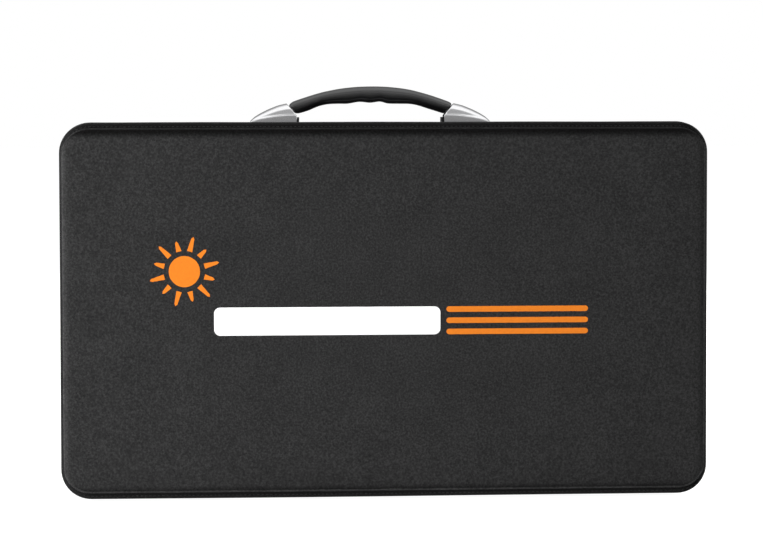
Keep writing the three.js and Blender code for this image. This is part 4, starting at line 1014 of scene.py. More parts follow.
# -------------------------------------------------------------- solar modules
def module_details(pre, side, body):
    lo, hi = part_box(f"{pre}_cells")
    x0, x1, z0, z1 = lo.x / MM, hi.x / MM, lo.z / MM, hi.z / MM
    glass_back = MOD_FRONT + 5.0
    cols, rows = 9, 4
    mx, mz, gx, gz = 15.0, 17.0, 2.0, 2.6
    cw = (x1 - x0 - 2 * mx - (cols - 1) * gx) / cols
    ch = (z1 - z0 - 2 * mz - (rows - 1) * gz) / rows
    cells, bus = [], []
    ya, yb = side * (glass_back + 0.06), side * (glass_back + 0.2)
    for c in range(cols):
        for r in range(rows):
            a, b = x0 + mx + c * (cw + gx), z0 + mz + r * (ch + gz)
            k = 5.0      # the chamfer of a pseudo-square cell, on alternate sides of a cut cell
            if r % 2 == 0:
                poly = [(a, b + k), (a + k, b), (a + cw - k, b), (a + cw, b + k), (a + cw, b + ch), (a, b + ch)]
            else:
                poly = [(a, b), (a + cw, b), (a + cw, b + ch - k), (a + cw - k, b + ch), (a + k, b + ch), (a, b + ch - k)]
            n = len(poly)
            V = [(x, ya, z) for x, z in poly] + [(x, yb, z) for x, z in poly]
            F = [tuple(range(n)), tuple(range(n, 2 * n))[::-1]] + [(i, (i + 1) % n, n + (i + 1) % n, n + i) for i in range(n)]
            cells.append((V, F))
        for f in (0.25, 0.75):
            xb = x0 + mx + c * (cw + gx) + cw * f
            bus.append(box_part(xb - 0.8, xb + 0.8, side * (glass_back + 0.02), side * (glass_back + 0.24), z0 + mz - 5.5, z1 - mz + 5.5))
    for zb in (z0 + mz - 6.6, z1 - mz + 5.4):
        for c in range(cols):
            # cross ribbons join neighbouring columns in turn, so the strings run in series
            if (zb < z0 + 30) == (c % 2 == 0) or c == cols - 1:
                xa = x0 + mx + c * (cw + gx) + cw * 0.25 - 0.8
                xb = xa + (cw * 0.5 + 1.6 if c == cols - 1 else cw + gx + cw * 0.5 + 1.6)
                bus.append(box_part(xa, min(xb, x1 - 4), side * (glass_back + 0.02), side * (glass_back + 0.24), zb, zb + 1.8))
    nm = "back" if side > 0 else "front"
    o = merge(f"{nm}_module_cells", cells, "solar_cells", smooth=False)
    b = merge(f"{nm}_module_ribbons", bus, "busbar", smooth=False)
    for p, s in ((o, "solar_cells"), (b, "steel")):
        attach(p, body)
    # black seal that beds the glass in its frame
    g0, g1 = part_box(f"{pre}_glass")
    gx0, gx1, gz0, gz1 = g0.x / MM + 5.6, g1.x / MM - 5.6, g0.z / MM + 5.6, g1.z / MM - 5.6
    t = 1.5
    seal = []
    for (a, b, c, d) in ((gx0, gx1, gz0, gz0 + t), (gx0, gx1, gz1 - t, gz1), (gx0, gx0 + t, gz0, gz1), (gx1 - t, gx1, gz0, gz1)):
        V, F = box_part(a, b, side * (MOD_FRONT + 0.75), side * (MOD_FRONT + 1.75), c, d)
        seal.append((V, F))
    s = merge(f"{nm}_module_seal", seal, "foot_rubber")
    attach(s, body)
    # elastic corner straps that hold the module in its half
    X0, X1, Z0, Z1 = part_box(f"{pre}_frame_left")[0].x / MM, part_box(f"{pre}_frame_right")[1].x / MM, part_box(f"{pre}_frame_bottom")[0].z / MM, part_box(f"{pre}_frame_top")[1].z / MM
    w = 18.0
    for nm2, cx, cz, sx, sz in (("ul", X0, Z1, 1, -1), ("ur", X1, Z1, -1, -1), ("ll", X0, Z0, 1, 1), ("lr", X1, Z0, -1, 1)):
        a = np.array([cx - sx * 1.2, cz + sz * 46.0])
        b = np.array([cx + sx * 46.0, cz - sz * 1.2])
        d = (b - a) / np.linalg.norm(b - a)
        nrm = np.array([-d[1], d[0]])
        L = np.linalg.norm(b - a)
        cols_, V, F = 24, [], []
        prof = [(-w / 2, 0.15), (-w / 2 + 0.8, 0.85), (-w / 6, 1.05), (w / 6, 1.05), (w / 2 - 0.8, 0.85), (w / 2, 0.15), (w / 2 - 0.8, 0.0), (-w / 2 + 0.8, 0.0)]
        for i in range(cols_ + 1):
            s_ = i / cols_
            base = a + d * L * s_
            dip = 0.0
            y0 = MOD_FRONT - 0.35
            # the ends turn down beside the frame
            if s_ < 0.05 or s_ > 0.95:
                dip = 5.0
            for u, h in prof:
                q = base + nrm * u
                wob = 0.10 * math.sin(s_ * 75) * (1 if h > 0.5 else 0)
                V.append((np.clip(q[0], -316.0, 316.0), side * max(y0 - h - wob + dip, 0.55), q[1]))
        m = len(prof)
        for i in range(cols_):
            for j in range(m):
                k2 = (j + 1) % m
                F.append((i * m + j, i * m + k2, (i + 1) * m + k2, (i + 1) * m + j))
        F += [tuple(range(m))[::-1], tuple(range(cols_ * m, (cols_ + 1) * m))]
        st = obj_from(f"{nm}_corner_strap_{nm2}", V, F, "zip_tape")
        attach(st, body)


MOD_FRONT = (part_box("back_frame_top")[0].y - YM) / MM
module_details("back", 1, "back_half")
module_details("lid", -1, "lid_half")


# --------------------------------------------------------------------- liners
def quilt(side, body, node):
    """Tricot over foam: a sewn diamond pattern on the bay's floor, and a raised lip where the lining meets the rim."""
    nm = "back" if side > 0 else "front"
    yb, yf = HALF_D - 4 - 0.35, HALF_D - 4 - 0.3 - 3.0
    # floor of the bay (and behind the module), as a pad with a quilted front
    x0, x1, z0, z1 = -315.0, 315.0, 7.4, CASE_H - 7.4
    nx, nz = 150, 92
    V = []
    for i in range(nx + 1):
        for j in range(nz + 1):
            u, w = i / nx, j / nz
            x, z = x0 + (x1 - x0) * u, z0 + (z1 - z0) * w
            # pull the grid's corners into the round of the case
            r = 22.0
            ax, az = abs(x) - (x1 - r), abs(z - CASE_H / 2) - ((z1 - z0) / 2 - r)
            if ax > 0 and az > 0:
                m = max(ax, az)
                L = math.hypot(ax, az)
                k = m / L
                x = math.copysign((x1 - r) + ax * k, x)
                z = CASE_H / 2 + math.copysign(((z1 - z0) / 2 - r) + az * k, z - CASE_H / 2)
            edge = min(x1 - abs(x), (z1 - z0) / 2 - abs(z - CASE_H / 2))
            p = 30.0
            d1 = abs(((x + z) / p) % 1 - 0.5) * 2
            d2 = abs(((x - z) / p) % 1 - 0.5) * 2
            sewn = max(math.exp(-((1 - d1) / 0.10) ** 2), math.exp(-((1 - d2) / 0.10) ** 2))
            puff = 1.1 - 1.5 * sewn + 0.5 * (1 - d1 * d1) * (1 - d2 * d2)
            # the quilting stands up in the open bay, and lies flat under the module and the controller
            free = min(max((x - 203) / 8, 0), 1)
            if side > 0:
                inside = min(max(min(x - 197, 317 - x, z - 120, 290 - z) / 8, 0), 1)
                free *= 1 - inside
            V.append((x, side * (yf + 0.5 - (0.5 + 1.15 * free) * max(puff, -0.4) + 1.2 * math.exp(-max(edge, 0) / 1.6)), z))
    n = len(V)
    V += [(x, side * yb, z) for x, _, z in V[:n]]
    F = []
    q = nz + 1
    for i in range(nx):
        for j in range(nz):
            a, b, c, d = i * q + j, (i + 1) * q + j, (i + 1) * q + j + 1, i * q + j + 1
            F.append((a, b, c, d))
            F.append((n + d, n + c, n + b, n + a))
    for i in range(nx):
        a, b = i * q, (i + 1) * q
        F.append((a, n + a, n + b, b))
        F.append((b + nz, n + b + nz, n + a + nz, a + nz))
    for j in range(nz):
        F.append((j + 1, n + j + 1, n + j, j))
        e = nx * q
        F.append((e + j, n + e + j, n + e + j + 1, e + j + 1))
    o = obj_from(f"{nm}_liner_pad", V, F, "liner_fabric")
    sharp(o, 70)
    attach(o, body)
    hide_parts(node)
    return o


def divider_pad(side, body):
    """The padded wall beside the module, puffed up by a short cloth simulation."""
    nm = "back" if side > 0 else "front"
    lo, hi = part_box("back_liner")
    x0, x1 = 197.0, 201.4
    y0, y1 = 2.6, HALF_D - 4 - 4.2
    z0, z1 = 12.5, CASE_H - 10.5
    me = bpy.data.meshes.new(f"{nm}_divider_pad")
    bm = bmesh.new()
    bmesh.ops.create_cube(bm, size=1.0)
    for v in bm.verts:
        v.co = Vector(((x0 + x1) / 2 + v.co.x * (x1 - x0 - 0.6), side * ((y0 + y1) / 2 + v.co.y * (y1 - y0 - 1.0)), (z0 + z1) / 2 + v.co.z * (z1 - z0)))
        v.co = Vector((v.co.x * MM, YM + v.co.y * MM, v.co.z * MM))
    bmesh.ops.recalc_face_normals(bm, faces=bm.faces)
    bm.to_mesh(me)
    bm.free()
    o = bpy.data.objects.new(f"{nm}_divider_pad", me)
    bpy.context.scene.collection.objects.link(o)
    me.materials.append(MATS["liner_fabric"])
    puff(o, voxel=2.2, pressure=3.0, frames=12, cap=0.7, pins=lambda c: (c[:, 1] - YM) * side * 1000 > y1 - 1.2)
    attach(o, body)
    return o


def puff(o, voxel, pressure, frames, cap, pins=None):
    """Remeshes a closed shape and lets a cloth simulation with inner pressure round it."""
    bpy.context.view_layer.objects.active = o
    for s in bpy.context.selected_objects:
        s.select_set(False)
    o.select_set(True)
    rm = o.modifiers.new("remesh", "REMESH")
    rm.mode = "VOXEL"
    rm.voxel_size = voxel * MM
    bpy.ops.object.modifier_apply(modifier="remesh")
    n = len(o.data.vertices)
    start = np.empty(n * 3)
    o.data.vertices.foreach_get("co", start)
    start = start.reshape(-1, 3)
    cl = o.modifiers.new("cloth", "CLOTH")
    st = cl.settings
    st.quality = 4
    st.mass = 0.2
    st.tension_stiffness = 18
    st.compression_stiffness = 18
    st.shear_stiffness = 8
    st.bending_stiffness = 0.6
    st.use_pressure = True
    st.uniform_pressure_force = pressure
    st.effector_weights.gravity = 0
    cl.collision_settings.use_collision = False
    if pins is not None:
        g = o.vertex_groups.new(name="pin")
        g.add([int(i) for i in np.where(pins(start))[0]], 1.0, "REPLACE")
        st.vertex_group_mass = "pin"
    scene = bpy.context.scene
    cl.point_cache.frame_start, cl.point_cache.frame_end = 1, frames
    for f in range(1, frames + 1):
        scene.frame_set(f)
    ev = o.evaluated_get(bpy.context.evaluated_depsgraph_get())
    end = np.empty(n * 3)
    ev.data.vertices.foreach_get("co", end)
    end = end.reshape(-1, 3)
    o.modifiers.remove(cl)
    d = end - start
    L = np.linalg.norm(d, axis=1)
    k = np.minimum(1.0, cap * MM / np.maximum(L, 1e-9))
    end = start + d * k[:, None]
    o.data.vertices.foreach_set("co", end.reshape(-1))
    scene.frame_set(1)
    o.vertex_groups.clear()
    o.data.polygons.foreach_set("use_smooth", [True] * len(o.data.polygons))
    o.data.update()


for side, body, pre in ((1, "back_half", "back"), (-1, "lid_half", "lid")):
    quilt(side, body, f"{pre}_liner")
    divider_pad(side, body)


# ----------------------------------------------------------------- net pocket
def net_pocket():
    lo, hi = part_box("net_pocket")
    x0, x1, z0, z1 = lo.x / MM, hi.x / MM, lo.z / MM, hi.z / MM
    yn = (lo.y / MM - YM / MM + hi.y / MM - YM / MM) / 2
    nx, nz = 27, 82
    me = bpy.data.meshes.new("net_mesh")
    V, F = [], []
    for i in range(nx + 1):
        for j in range(nz + 1):
            V.append((x0 + 3 + (x1 - x0 - 6) * i / nx, yn, z0 + 3 + (z1 - z0 - 9) * j / nz))
    q = nz + 1
    for i in range(nx):
        for j in range(nz):
            F.append((i * q + j, (i + 1) * q + j, (i + 1) * q + j + 1, i * q + j + 1))
    v = np.array(V) * MM
    v[:, 1] += YM
    me.from_pydata(v.tolist(), [], F)
    o = bpy.data.objects.new("net_mesh", me)
    bpy.context.scene.collection.objects.link(o)
    me.materials.append(MATS["net"])
    start = v.copy()
    # the net hangs from its bound edges and is pushed out a little by what it holds
    cl = o.modifiers.new("cloth", "CLOTH")
    st = cl.settings
    st.quality = 5
    st.mass = 0.05
    st.tension_stiffness = 6
    st.compression_stiffness = 2
    st.shear_stiffness = 1
    st.bending_stiffness = 0.05
    st.effector_weights.gravity = 0.6
    st.use_pressure = True
    st.uniform_pressure_force = 0.35
    g = o.vertex_groups.new(name="pin")
    idx = [k for k in range(len(V)) if (k // q) in (0, nx) or (k % q) in (0, nz)]
    g.add(idx, 1.0, "REPLACE")
    st.vertex_group_mass = "pin"
    cl.point_cache.frame_start, cl.point_cache.frame_end = 1, 18
    for f in range(1, 19):
        bpy.context.scene.frame_set(f)
    ev = o.evaluated_get(bpy.context.evaluated_depsgraph_get())
    end = np.array([w.co[:] for w in ev.data.vertices])
    o.modifiers.remove(cl)
    bpy.context.scene.frame_set(1)
    d = end - start
    lim = np.array([2.5, 2.2, 4.0]) * MM
    d = np.clip(d, -lim, lim)
    v = start + d
    o.vertex_groups.clear()
    # bulge over the clamps and the coil, whichever way the simulation leaned
    X = v[:, 0] / MM
    Z = v[:, 2] / MM
    edge = np.clip(np.minimum.reduce([X - x0 - 3, x1 - 3 - X, Z - z0 - 3, z1 - 6 - Z]) / 25.0, 0, 1)
    for cz, w in ((318, 22), (255, 22), (150, 46)):
        v[:, 1] += -0.0 + 1.5 * MM * np.exp(-((Z - cz) / w) ** 2) * edge
    v[:, 1] = np.minimum(v[:, 1], YM - 1.2 * MM)
    o.data.vertices.foreach_set("co", v.reshape(-1))
    o.data.update()
    wf = o.modifiers.new("wire", "WIREFRAME")
    wf.thickness = 0.75 * MM
    wf.use_even_offset = False
    wf.use_boundary = True
    bpy.context.view_layer.objects.active = o
    for s in bpy.context.selected_objects:
        s.select_set(False)
    o.select_set(True)
    bpy.ops.object.modifier_apply(modifier="wire")
    o.data.polygons.foreach_set("use_smooth", [True] * len(o.data.polygons))
    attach(o, "lid_half")
    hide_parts("net_pocket")
    # bound edge on three sides and a gathered elastic top
    y = yn
    parts = []
    b = 4.5
    path = [(x0 + b / 2, y, z1 - 4), (x0 + b / 2, y, z0 + 8), (x0 + 8, y, z0 + b / 2), (x1 - 8, y, z0 + b / 2), (x1 - b / 2, y, z0 + 8), (x1 - b / 2, y, z1 - 4)]
    dense = []
    for p, r in zip(path[:-1], path[1:]):
        for t in np.linspace(0, 1, 10, endpoint=False):
            dense.append(np.array(p) * (1 - t) + np.array(r) * t)
    dense.append(np.array(path[-1]))
    parts.append(tube_part(dense, 2.3, 10, squash=1.0))
    V, F = parts[0]
    V = np.array(V)
    V[:, 1] = y + (V[:, 1] - y) * 0.42
    t = merge("net_binding", [(V, F)], "zip_tape")
    top = []
    n = 90
    for i in range(n + 1):
        x = x0 + (x1 - x0) * i / n
        g = 0.5 * math.sin(i * 1.9) + 0.2 * math.sin(i * 3.1)
        top.append([(x, y - 0.9, z1 - 7 + 0.3 * g), (x, y + 0.9 + 0.35 * g, z1 - 6.6), (x, y + 1.1 + 0.35 * g, z1 - 3.5), (x, y + 0.9 + 0.35 * g, z1 - 0.4), (x, y - 0.9, z1 + 0.3 * g)])
    e = loft("net_elastic_top", top, "zip_tape")
    for p in (t, e):
        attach(p, "lid_half")


net_pocket()


# ----------------------------------------------------------- charge controller
def controller():
    lo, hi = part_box("controller_cover")
    x0, x1, z0, z1 = lo.x / MM, hi.x / MM, lo.z / MM, hi.z / MM
    yf = (lo.y - YM) / MM
    cx = (x0 + x1) / 2
    B = "back_half"

    def rider(o):
        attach(o, B)
        return o

    # corner screws with a round recess in the head
    scr = []
    for sx in (x0 + 6.5, x1 - 6.5):
        for sz in (z0 + 6.5, z1 - 6.5):
            P = []
            for y, r in ((0.35, 0.01), (0.3, 1.0), (0.12, 1.0), (0.05, 1.6), (-0.35, 2.3), (-0.15, 2.7), (0.8, 2.7), (0.8, 0.01)):
                P.append([(sx + r * math.cos(a), yf + y - 0.3, sz + r * math.sin(a)) for a in np.linspace(0, 2 * math.pi, 20, endpoint=False)])
            V = np.concatenate([np.array(p) for p in P])
            F = []
            for k in range(len(P) - 1):
                for i in range(20):
                    j = (i + 1) % 20
                    F.append((k * 20 + i, k * 20 + j, (k + 1) * 20 + j, (k + 1) * 20 + i))
            F += [tuple(range(20))[::-1], tuple(range((len(P) - 1) * 20, len(P) * 20))]
            scr.append((V, F))
    rider(merge("controller_cover_screws", scr, "steel"))
    # raised bezel round the window
    wlo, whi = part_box("controller_display")
    a, b, c, d = wlo.x / MM - 2.6, whi.x / MM + 2.6, wlo.z / MM - 2.6, whi.z / MM + 2.6

    def ring_loop(inset, y, r):
        pts = []
        for qx, qz, a0 in ((b - r, d - r, 0), (a + r, d - r, 90), (a + r, c + r, 180), (b - r, c + r, 270)):
            for i in range(7):
                t = math.radians(a0 + 15 * i)
                pts.append((qx + (r - inset) * math.cos(t), y, qz + (r - inset) * math.sin(t)))
        return pts

    bz = loft("controller_window_bezel", [ring_loop(0, yf + 0.3, 3.4), ring_loop(0, yf - 0.2, 3.4), ring_loop(0.4, yf - 0.6, 3.4), ring_loop(1.6, yf - 0.6, 3.4), ring_loop(2.0, yf - 0.3, 3.4), ring_loop(2.3, yf + 0.3, 3.4)],
              "controller_dark", ring=True)
    rider(bz)
    # segments of a plain numeric read-out and a battery outline
    yd = (wlo.y - YM) / MM
    seg = {"0": "abcdef", "1": "bc", "2": "abged", "3": "abgcd", "4": "fgbc", "5": "afgcd", "6": "afgecd", "7": "abc", "8": "abcdefg", "9": "abcdfg"}
    ink = []

    def digit(ch, ox, oz, w=8.0, h=15.0, t=1.5):
        s = {"a": (ox + t, ox + w - t, oz + h - t, oz + h), "d": (ox + t, ox + w - t, oz, oz + t), "g": (ox + t, ox + w - t, oz + h / 2 - t / 2, oz + h / 2 + t / 2),
             "f": (ox, ox + t, oz + h / 2 + 0.4, oz + h - 0.4), "b": (ox + w - t, ox + w, oz + h / 2 + 0.4, oz + h - 0.4),
             "e": (ox, ox + t, oz + 0.4, oz + h / 2 - 0.4), "c": (ox + w - t, ox + w, oz + 0.4, oz + h / 2 - 0.4)}
        for k in seg[ch]:
            p, q, r_, u = s[k]
            ink.append(box_part(p, q, yd - 0.06, yd + 0.1, r_, u))

    zc = (wlo.z + whi.z) / 2 / MM - 9
    digit("1", cx - 14, zc)
    digit("3", cx - 3, zc)
    ink.append(box_part(cx + 6.6, cx + 8.2, yd - 0.06, yd + 0.1, zc, zc + 1.6))
    digit("2", cx + 10, zc)
    bx, bz_ = cx - 29, zc + 1
    for p, q, r_, u in ((bx, bx + 1, bz_, bz_ + 12), (bx + 7, bx + 8, bz_, bz_ + 12), (bx, bx + 8, bz_, bz_ + 1), (bx, bx + 8, bz_ + 11, bz_ + 12), (bx + 2.5, bx + 5.5, bz_ + 12, bz_ + 13.4),
                        (bx + 2, bx + 6, bz_ + 2, bz_ + 4), (bx + 2, bx + 6, bz_ + 5, bz_ + 7)):
        ink.append(box_part(p, q, yd - 0.06, yd + 0.1, r_, u))
    rider(merge("controller_readout_segments", ink, "lcd_ink", smooth=False))
    # status lamps
    for nm, x, col in (("green", cx - 9, (0.05, 0.5, 0.09)), ("amber", cx + 9, (0.75, 0.3, 0.02))):
        P = []
        for k in range(6):
            t = k / 5 * math.pi / 2
            r = 1.9 * math.cos(t) + 0.02
            P.append([(x + r * math.cos(a), yf - 1.1 * math.sin(t), z1 - 74 + r * math.sin(a)) for a in np.linspace(0, 2 * math.pi, 20, endpoint=False)])
        P.insert(0, [(x + 1.9 * math.cos(a), yf + 0.6, z1 - 74 + 1.9 * math.sin(a)) for a in np.linspace(0, 2 * math.pi, 20, endpoint=False)])
        MATS["lamp_" + nm] = mat_plastic("lamp_" + nm, tuple(c * 0.8 for c in col), col, 0.2, 600, 0.00001, 0.6, 0.5)
        rider(loft(f"controller_lamp_{nm}", P, "lamp_" + nm))
    # cooling fins along both long sides of the base
    bl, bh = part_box("controller_base")
    fins = []
    y0, y1 = (bl.y - YM) / MM + 1.2, (bh.y - YM) / MM - 1.6
    for sx, s in ((x0, -1), (x1, 1)):
        z = z0 + 12
        while z < z1 - 12:
            fins.append(box_part(sx - s * 0.6, sx + s * 2.0, y0, y1, z, z + 2.0))
            z += 5.2
    f = merge("controller_cooling_fins", fins, "controller_dark")
    add_bevel(f, 0.4, 2)
    rider(f)
    # terminal screws and the wires that enter the block
    tl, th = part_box("controller_terminals")
    tx0 = tl.x / MM
    ty0 = (tl.y - YM) / MM
    ts, wires = [], []
    for i in range(6):
        sx, sz = tx0 + 12 * i + 6, tl.z / MM + 9.6
        P = [[(sx + r * math.cos(a), ty0 + y, sz + r * math.sin(a)) for a in np.linspace(0, 2 * math.pi, 16, endpoint=False)] for y, r in ((0.6, 2.4), (-0.45, 2.4), (-0.7, 2.1), (-0.7, 0.02))]
        V = np.concatenate([np.array(p) for p in P])
        F = [(k * 16 + q, k * 16 + (q + 1) % 16, (k + 1) * 16 + (q + 1) % 16, (k + 1) * 16 + q) for k in range(3) for q in range(16)] + [tuple(range(16))[::-1], tuple(range(48, 64))]
        ts.append((V, F))
        ts.append(box_part(sx - 1.9, sx + 1.9, ty0 - 0.82, ty0 - 0.6, sz - 0.25, sz + 0.25))
    rider(merge("controller_terminal_screws", ts, "steel"))
    ends = [(202.8, 16, 96), (203.2, 20, 88), (230.4, 20.6, 40), (230.4, 24.2, 40), (234.0, 20.6, 40), (234.0, 24.2, 40)]
    for i in range(6):
        sx, sz = tx0 + 12 * i + 6, tl.z / MM
        ex, ey, ez = ends[i]
        if i < 2:
            pts = [(sx, 19, sz + 5), (sx, 19, sz - 6), (sx - 3, 19, sz - 16), ((sx + ex) / 2, ey, ez - 6 + i), (ex + 6, ey, ez), (ex - 0.5, ey, ez + 2)]
        else:
            pts = [(sx, 19, sz + 5), (sx, 19, sz - 8), (sx + (1.5 if i % 2 else -1.5), 19 + 0.6 * i, sz - 24), (sx * 0.45 + ex * 0.55, ey, 68 + 2 * i), (ex, ey, 48), (ex, ey, 30)]
        w = merge(f"controller_wire_{i + 1}", [tube_part(spline(pts, 8), 1.5, 10)], "clamp_red" if i % 2 == 0 else "cable_rubber")
        rider(w)
    # moulded boot that gathers the four wires, and a grommet where the panel leads go through the divider
    P = []
    for z, r in ((37.5, 0.3), (37.5, 4.6), (36.9, 5.2), (34.5, 5.2), (33.9, 4.6), (32.6, 4.6), (32.0, 5.0), (30.6, 5.0), (30.0, 4.3), (28.8, 4.3), (28.2, 4.6), (26.9, 4.6), (26.3, 3.9), (25.2, 3.9), (24.6, 4.2), (23.4, 4.2), (22.8, 3.0), (22.4, 0.3)):
        P.append([(232.2 + r * math.cos(a), 22.4 + r * math.sin(a), z) for a in np.linspace(0, 2 * math.pi, 24, endpoint=False)])
    boot = loft("controller_cable_boot", P, "cable_rubber")
    sharp(boot, 40)
    rider(boot)
    G = []
    for t in np.linspace(0, 2 * math.pi, 12, endpoint=False):
        r, x = 5.6 + 1.1 * math.cos(t), 202.6 + 1.3 * math.sin(t)
        G.append([(x, 18.0 + r * math.cos(a), 93.0 + 1.25 * r * math.sin(a)) for a in np.linspace(0, 2 * math.pi, 28, endpoint=False)])
    rider(loft("divider_grommet", G, "cable_rubber", ring=True))


controller()


# ------------------------------------------------------- cable across the hinge
def hinge_cable():
    pts = [(232.2, 22.4, 26), (232.6, 22.4, 17), (237, 19, 11), (240, 13, 9.4), (242, 4, 9.0), (242, 0, 9.0), (242, -4, 9.0), (244, -14, 9.4), (248, -22, 14), (252, -23, 30), (256, -22, 44)]
    P = spline(pts, 10)
    o = merge("hinge_cable", [tube_part(P, 2.4, 12)], "cable_rubber")
    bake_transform(o)


hinge_cable()


# ---------------------------------------------------------------- clamp details
def clamps():
    for nm, cz in (("red", 318.0), ("black", 255.0)):
        cx, cy = 255.0, -19.0
        for jaw, s, body in (("upper", 1, f"clamp_{nm}_jaw"), ("lower", -1, "lid_half")):
            # toothed copper insert inside the jaw's tip
            V, F = [], []
            top = [(-44.4, 0.55), (-42.6, 1.5), (-40.6, 2.0), (-38.6, 0.55), (-36.4, 0.6), (-34.4, 2.0), (-32.4, 2.0), (-30.0, 0.6), (-20, 1.4), (-12, 2.2)]
            prof = [(u, w + 0.02) for u, w in top]
            for side_y in (-5.6, 5.6):
                for u, w in prof:
                    V.append((cx + u, cy + side_y, cz + s * max(w - 0.35, 0.34)))
                for u, w in prof:
                    V.append((cx + u, cy + side_y, cz + s * (w + 0.9)))
            n = len(prof)
            for i in range(n - 1):
                F.append((i, i + 1, 2 * n + i + 1, 2 * n + i))
                F.append((n + i, 3 * n + i, 3 * n + i + 1, n + i + 1))
                F.append((i, n + i, n + i + 1, i + 1))
                F.append((2 * n + i, 2 * n + i + 1, 3 * n + i + 1, 3 * n + i))
            F.append((0, 2 * n, 3 * n, n))
            F.append((n - 1, 2 * n - 1, 4 * n - 1, 3 * n - 1))
            o = obj_from(f"clamp_{nm}_{jaw}_contact", V, F, "copper", smooth=False)
            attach(o, body)
            # ribbed finger grip on the handle
            ribs = []
            for k in range(7):
                u = 24 + 3.6 * k
                w = 12.5 + (19 - 12.5) * (u - 12) / 38.0
                ribs.append(tube_part([(cx + u, cy - 6.4, cz + s * (w - 0.25)), (cx + u, cy - 5.6, cz + s * (w + 0.1)), (cx + u, cy + 5.6, cz + s * (w + 0.1)), (cx + u, cy + 6.4, cz + s * (w - 0.25))], [0.4, 0.8, 0.8, 0.4], 8))
            g = merge(f"clamp_{nm}_{jaw}_grip_ribs", ribs, f"clamp_{nm}")
            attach(g, body)
        # lead from the clamp's tail to the coil
        z = cz
        pts = {"red": [(cx + 50, cy, z - 15), (cx + 57, cy - 2, z - 24), (311, cy - 4, z - 60), (312, cy - 5, 210), (306, cy - 6, 178)],
               "black": [(cx + 50, cy, z - 15), (cx + 54, cy + 1, z - 22), (307, cy + 2, 215), (307, cy, 195), (302, cy - 2, 176)]}[nm]
        w = merge(f"clamp_{nm}_lead", [tube_part(spline(pts, 8), 2.0, 10)], f"clamp_{nm}")
        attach(w, "lid_half")


clamps()


# --------------------------------------------------- springs, coiled cable
def springs():
    for nm in ("red", "black"):
        a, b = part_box(f"clamp_{nm}_spring")
        cx, cz = (a.x + b.x) / 2 / MM, (a.z + b.z) / 2 / MM
        y0, y1 = (a.y - YM) / MM + 0.6, (b.y - YM) / MM - 0.6
        r = (b.x - a.x) / 2 / MM - 0.6
        turns = max(4, int((y1 - y0) / 1.25))
        pts = [(cx + 7.5, y0, cz - r * 0.2 - 3.4), (cx + 3.6, y0, cz - r * 0.95)]
        n = turns * 22
        for k in range(n + 1):
            t = -math.pi / 2 - 2 * math.pi * turns * k / n
            pts.append((cx + r * math.cos(t), y0 + (y1 - y0) * k / n, cz + r * math.sin(t)))
        pts += [(cx + 3.6, y1, cz - r * 0.98), (cx + 7.5, y1, cz - r - 0.6)]
        o = merge(f"clamp_{nm}_torsion_spring", [tube_part(pts, 0.52, 8)], "steel")
        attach(o, "lid_half")
        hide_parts(f"clamp_{nm}_spring")


springs()


def coiled_cable():
    cx, cz, cy = 258.0, 152.0, -18.5
    pts = [(258, -13.5, 76), (258, -13.6, 86), (256.5, -14.5, 95), (252.5, -17.0, 102.5)]
    turns = 6
    n = turns * 44
    for k in range(n + 1):
        t = k / 44
        whole, frac = int(t), t - int(t)
        s = np.clip((frac - 0.82) / 0.18, 0, 1)
        s = s * s * (3 - 2 * s)
        lay = lambda q: (cy + (q % 3 - 1) * 5.5 * (1 if (q // 3) % 2 == 0 else -1), 43.0 + (-2.8 if q < 3 else 2.8))
        (ya, ra), (yb, rb) = lay(whole), lay(min(whole + 1, turns - 1))
        y, r = ya + (yb - ya) * s, ra + (rb - ra) * s
        r += 0.35 * math.sin(2 * math.pi * t * 1.7 + 1) + 0.25 * math.sin(2 * math.pi * t * 3.1)
        a = math.radians(-104) - 2 * math.pi * t
        pts.append((cx + r * math.cos(a), y, cz + r * math.sin(a)))
    o = merge("charge_cable_coil", [tube_part(pts, 2.5, 12)], "cable_rubber")
    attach(o, "lid_half")
    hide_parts("charge_cable")
    ties = []
    for ang in (35, 172):
        a = math.radians(ang)
        er, et = np.array([math.cos(a), 0, math.sin(a)]), np.array([-math.sin(a), 0, math.cos(a)])
        c = np.array([cx, cy, cz]) + er * 43.0
        L = []
        for w, d in ((-5.5, 0.0), (-5.5, 0.95), (-5.0, 1.15), (5.0, 1.15), (5.5, 0.95), (5.5, 0.0)):
            loop = []
            for t in np.linspace(0, 2 * math.pi, 40, endpoint=False):
                c_, s_ = math.cos(t), math.sin(t)
                e = 0.62
                rr = (6.4 + d) * math.copysign(abs(c_) ** e, c_)
                yy = (8.9 + d) * math.copysign(abs(s_) ** e, s_)
                loop.append(tuple(c + er * rr + et * (w + 0.15 * math.sin(5 * t)) + np.array([0, yy, 0])))
            L.append(loop)
        ties.append(L)
    for i, L in enumerate(ties):
        t = loft(f"cable_tie_{i + 1}", L, "zip_tape", ring=True)
        sharp(t, 45)
        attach(t, "lid_half")


coiled_cable()


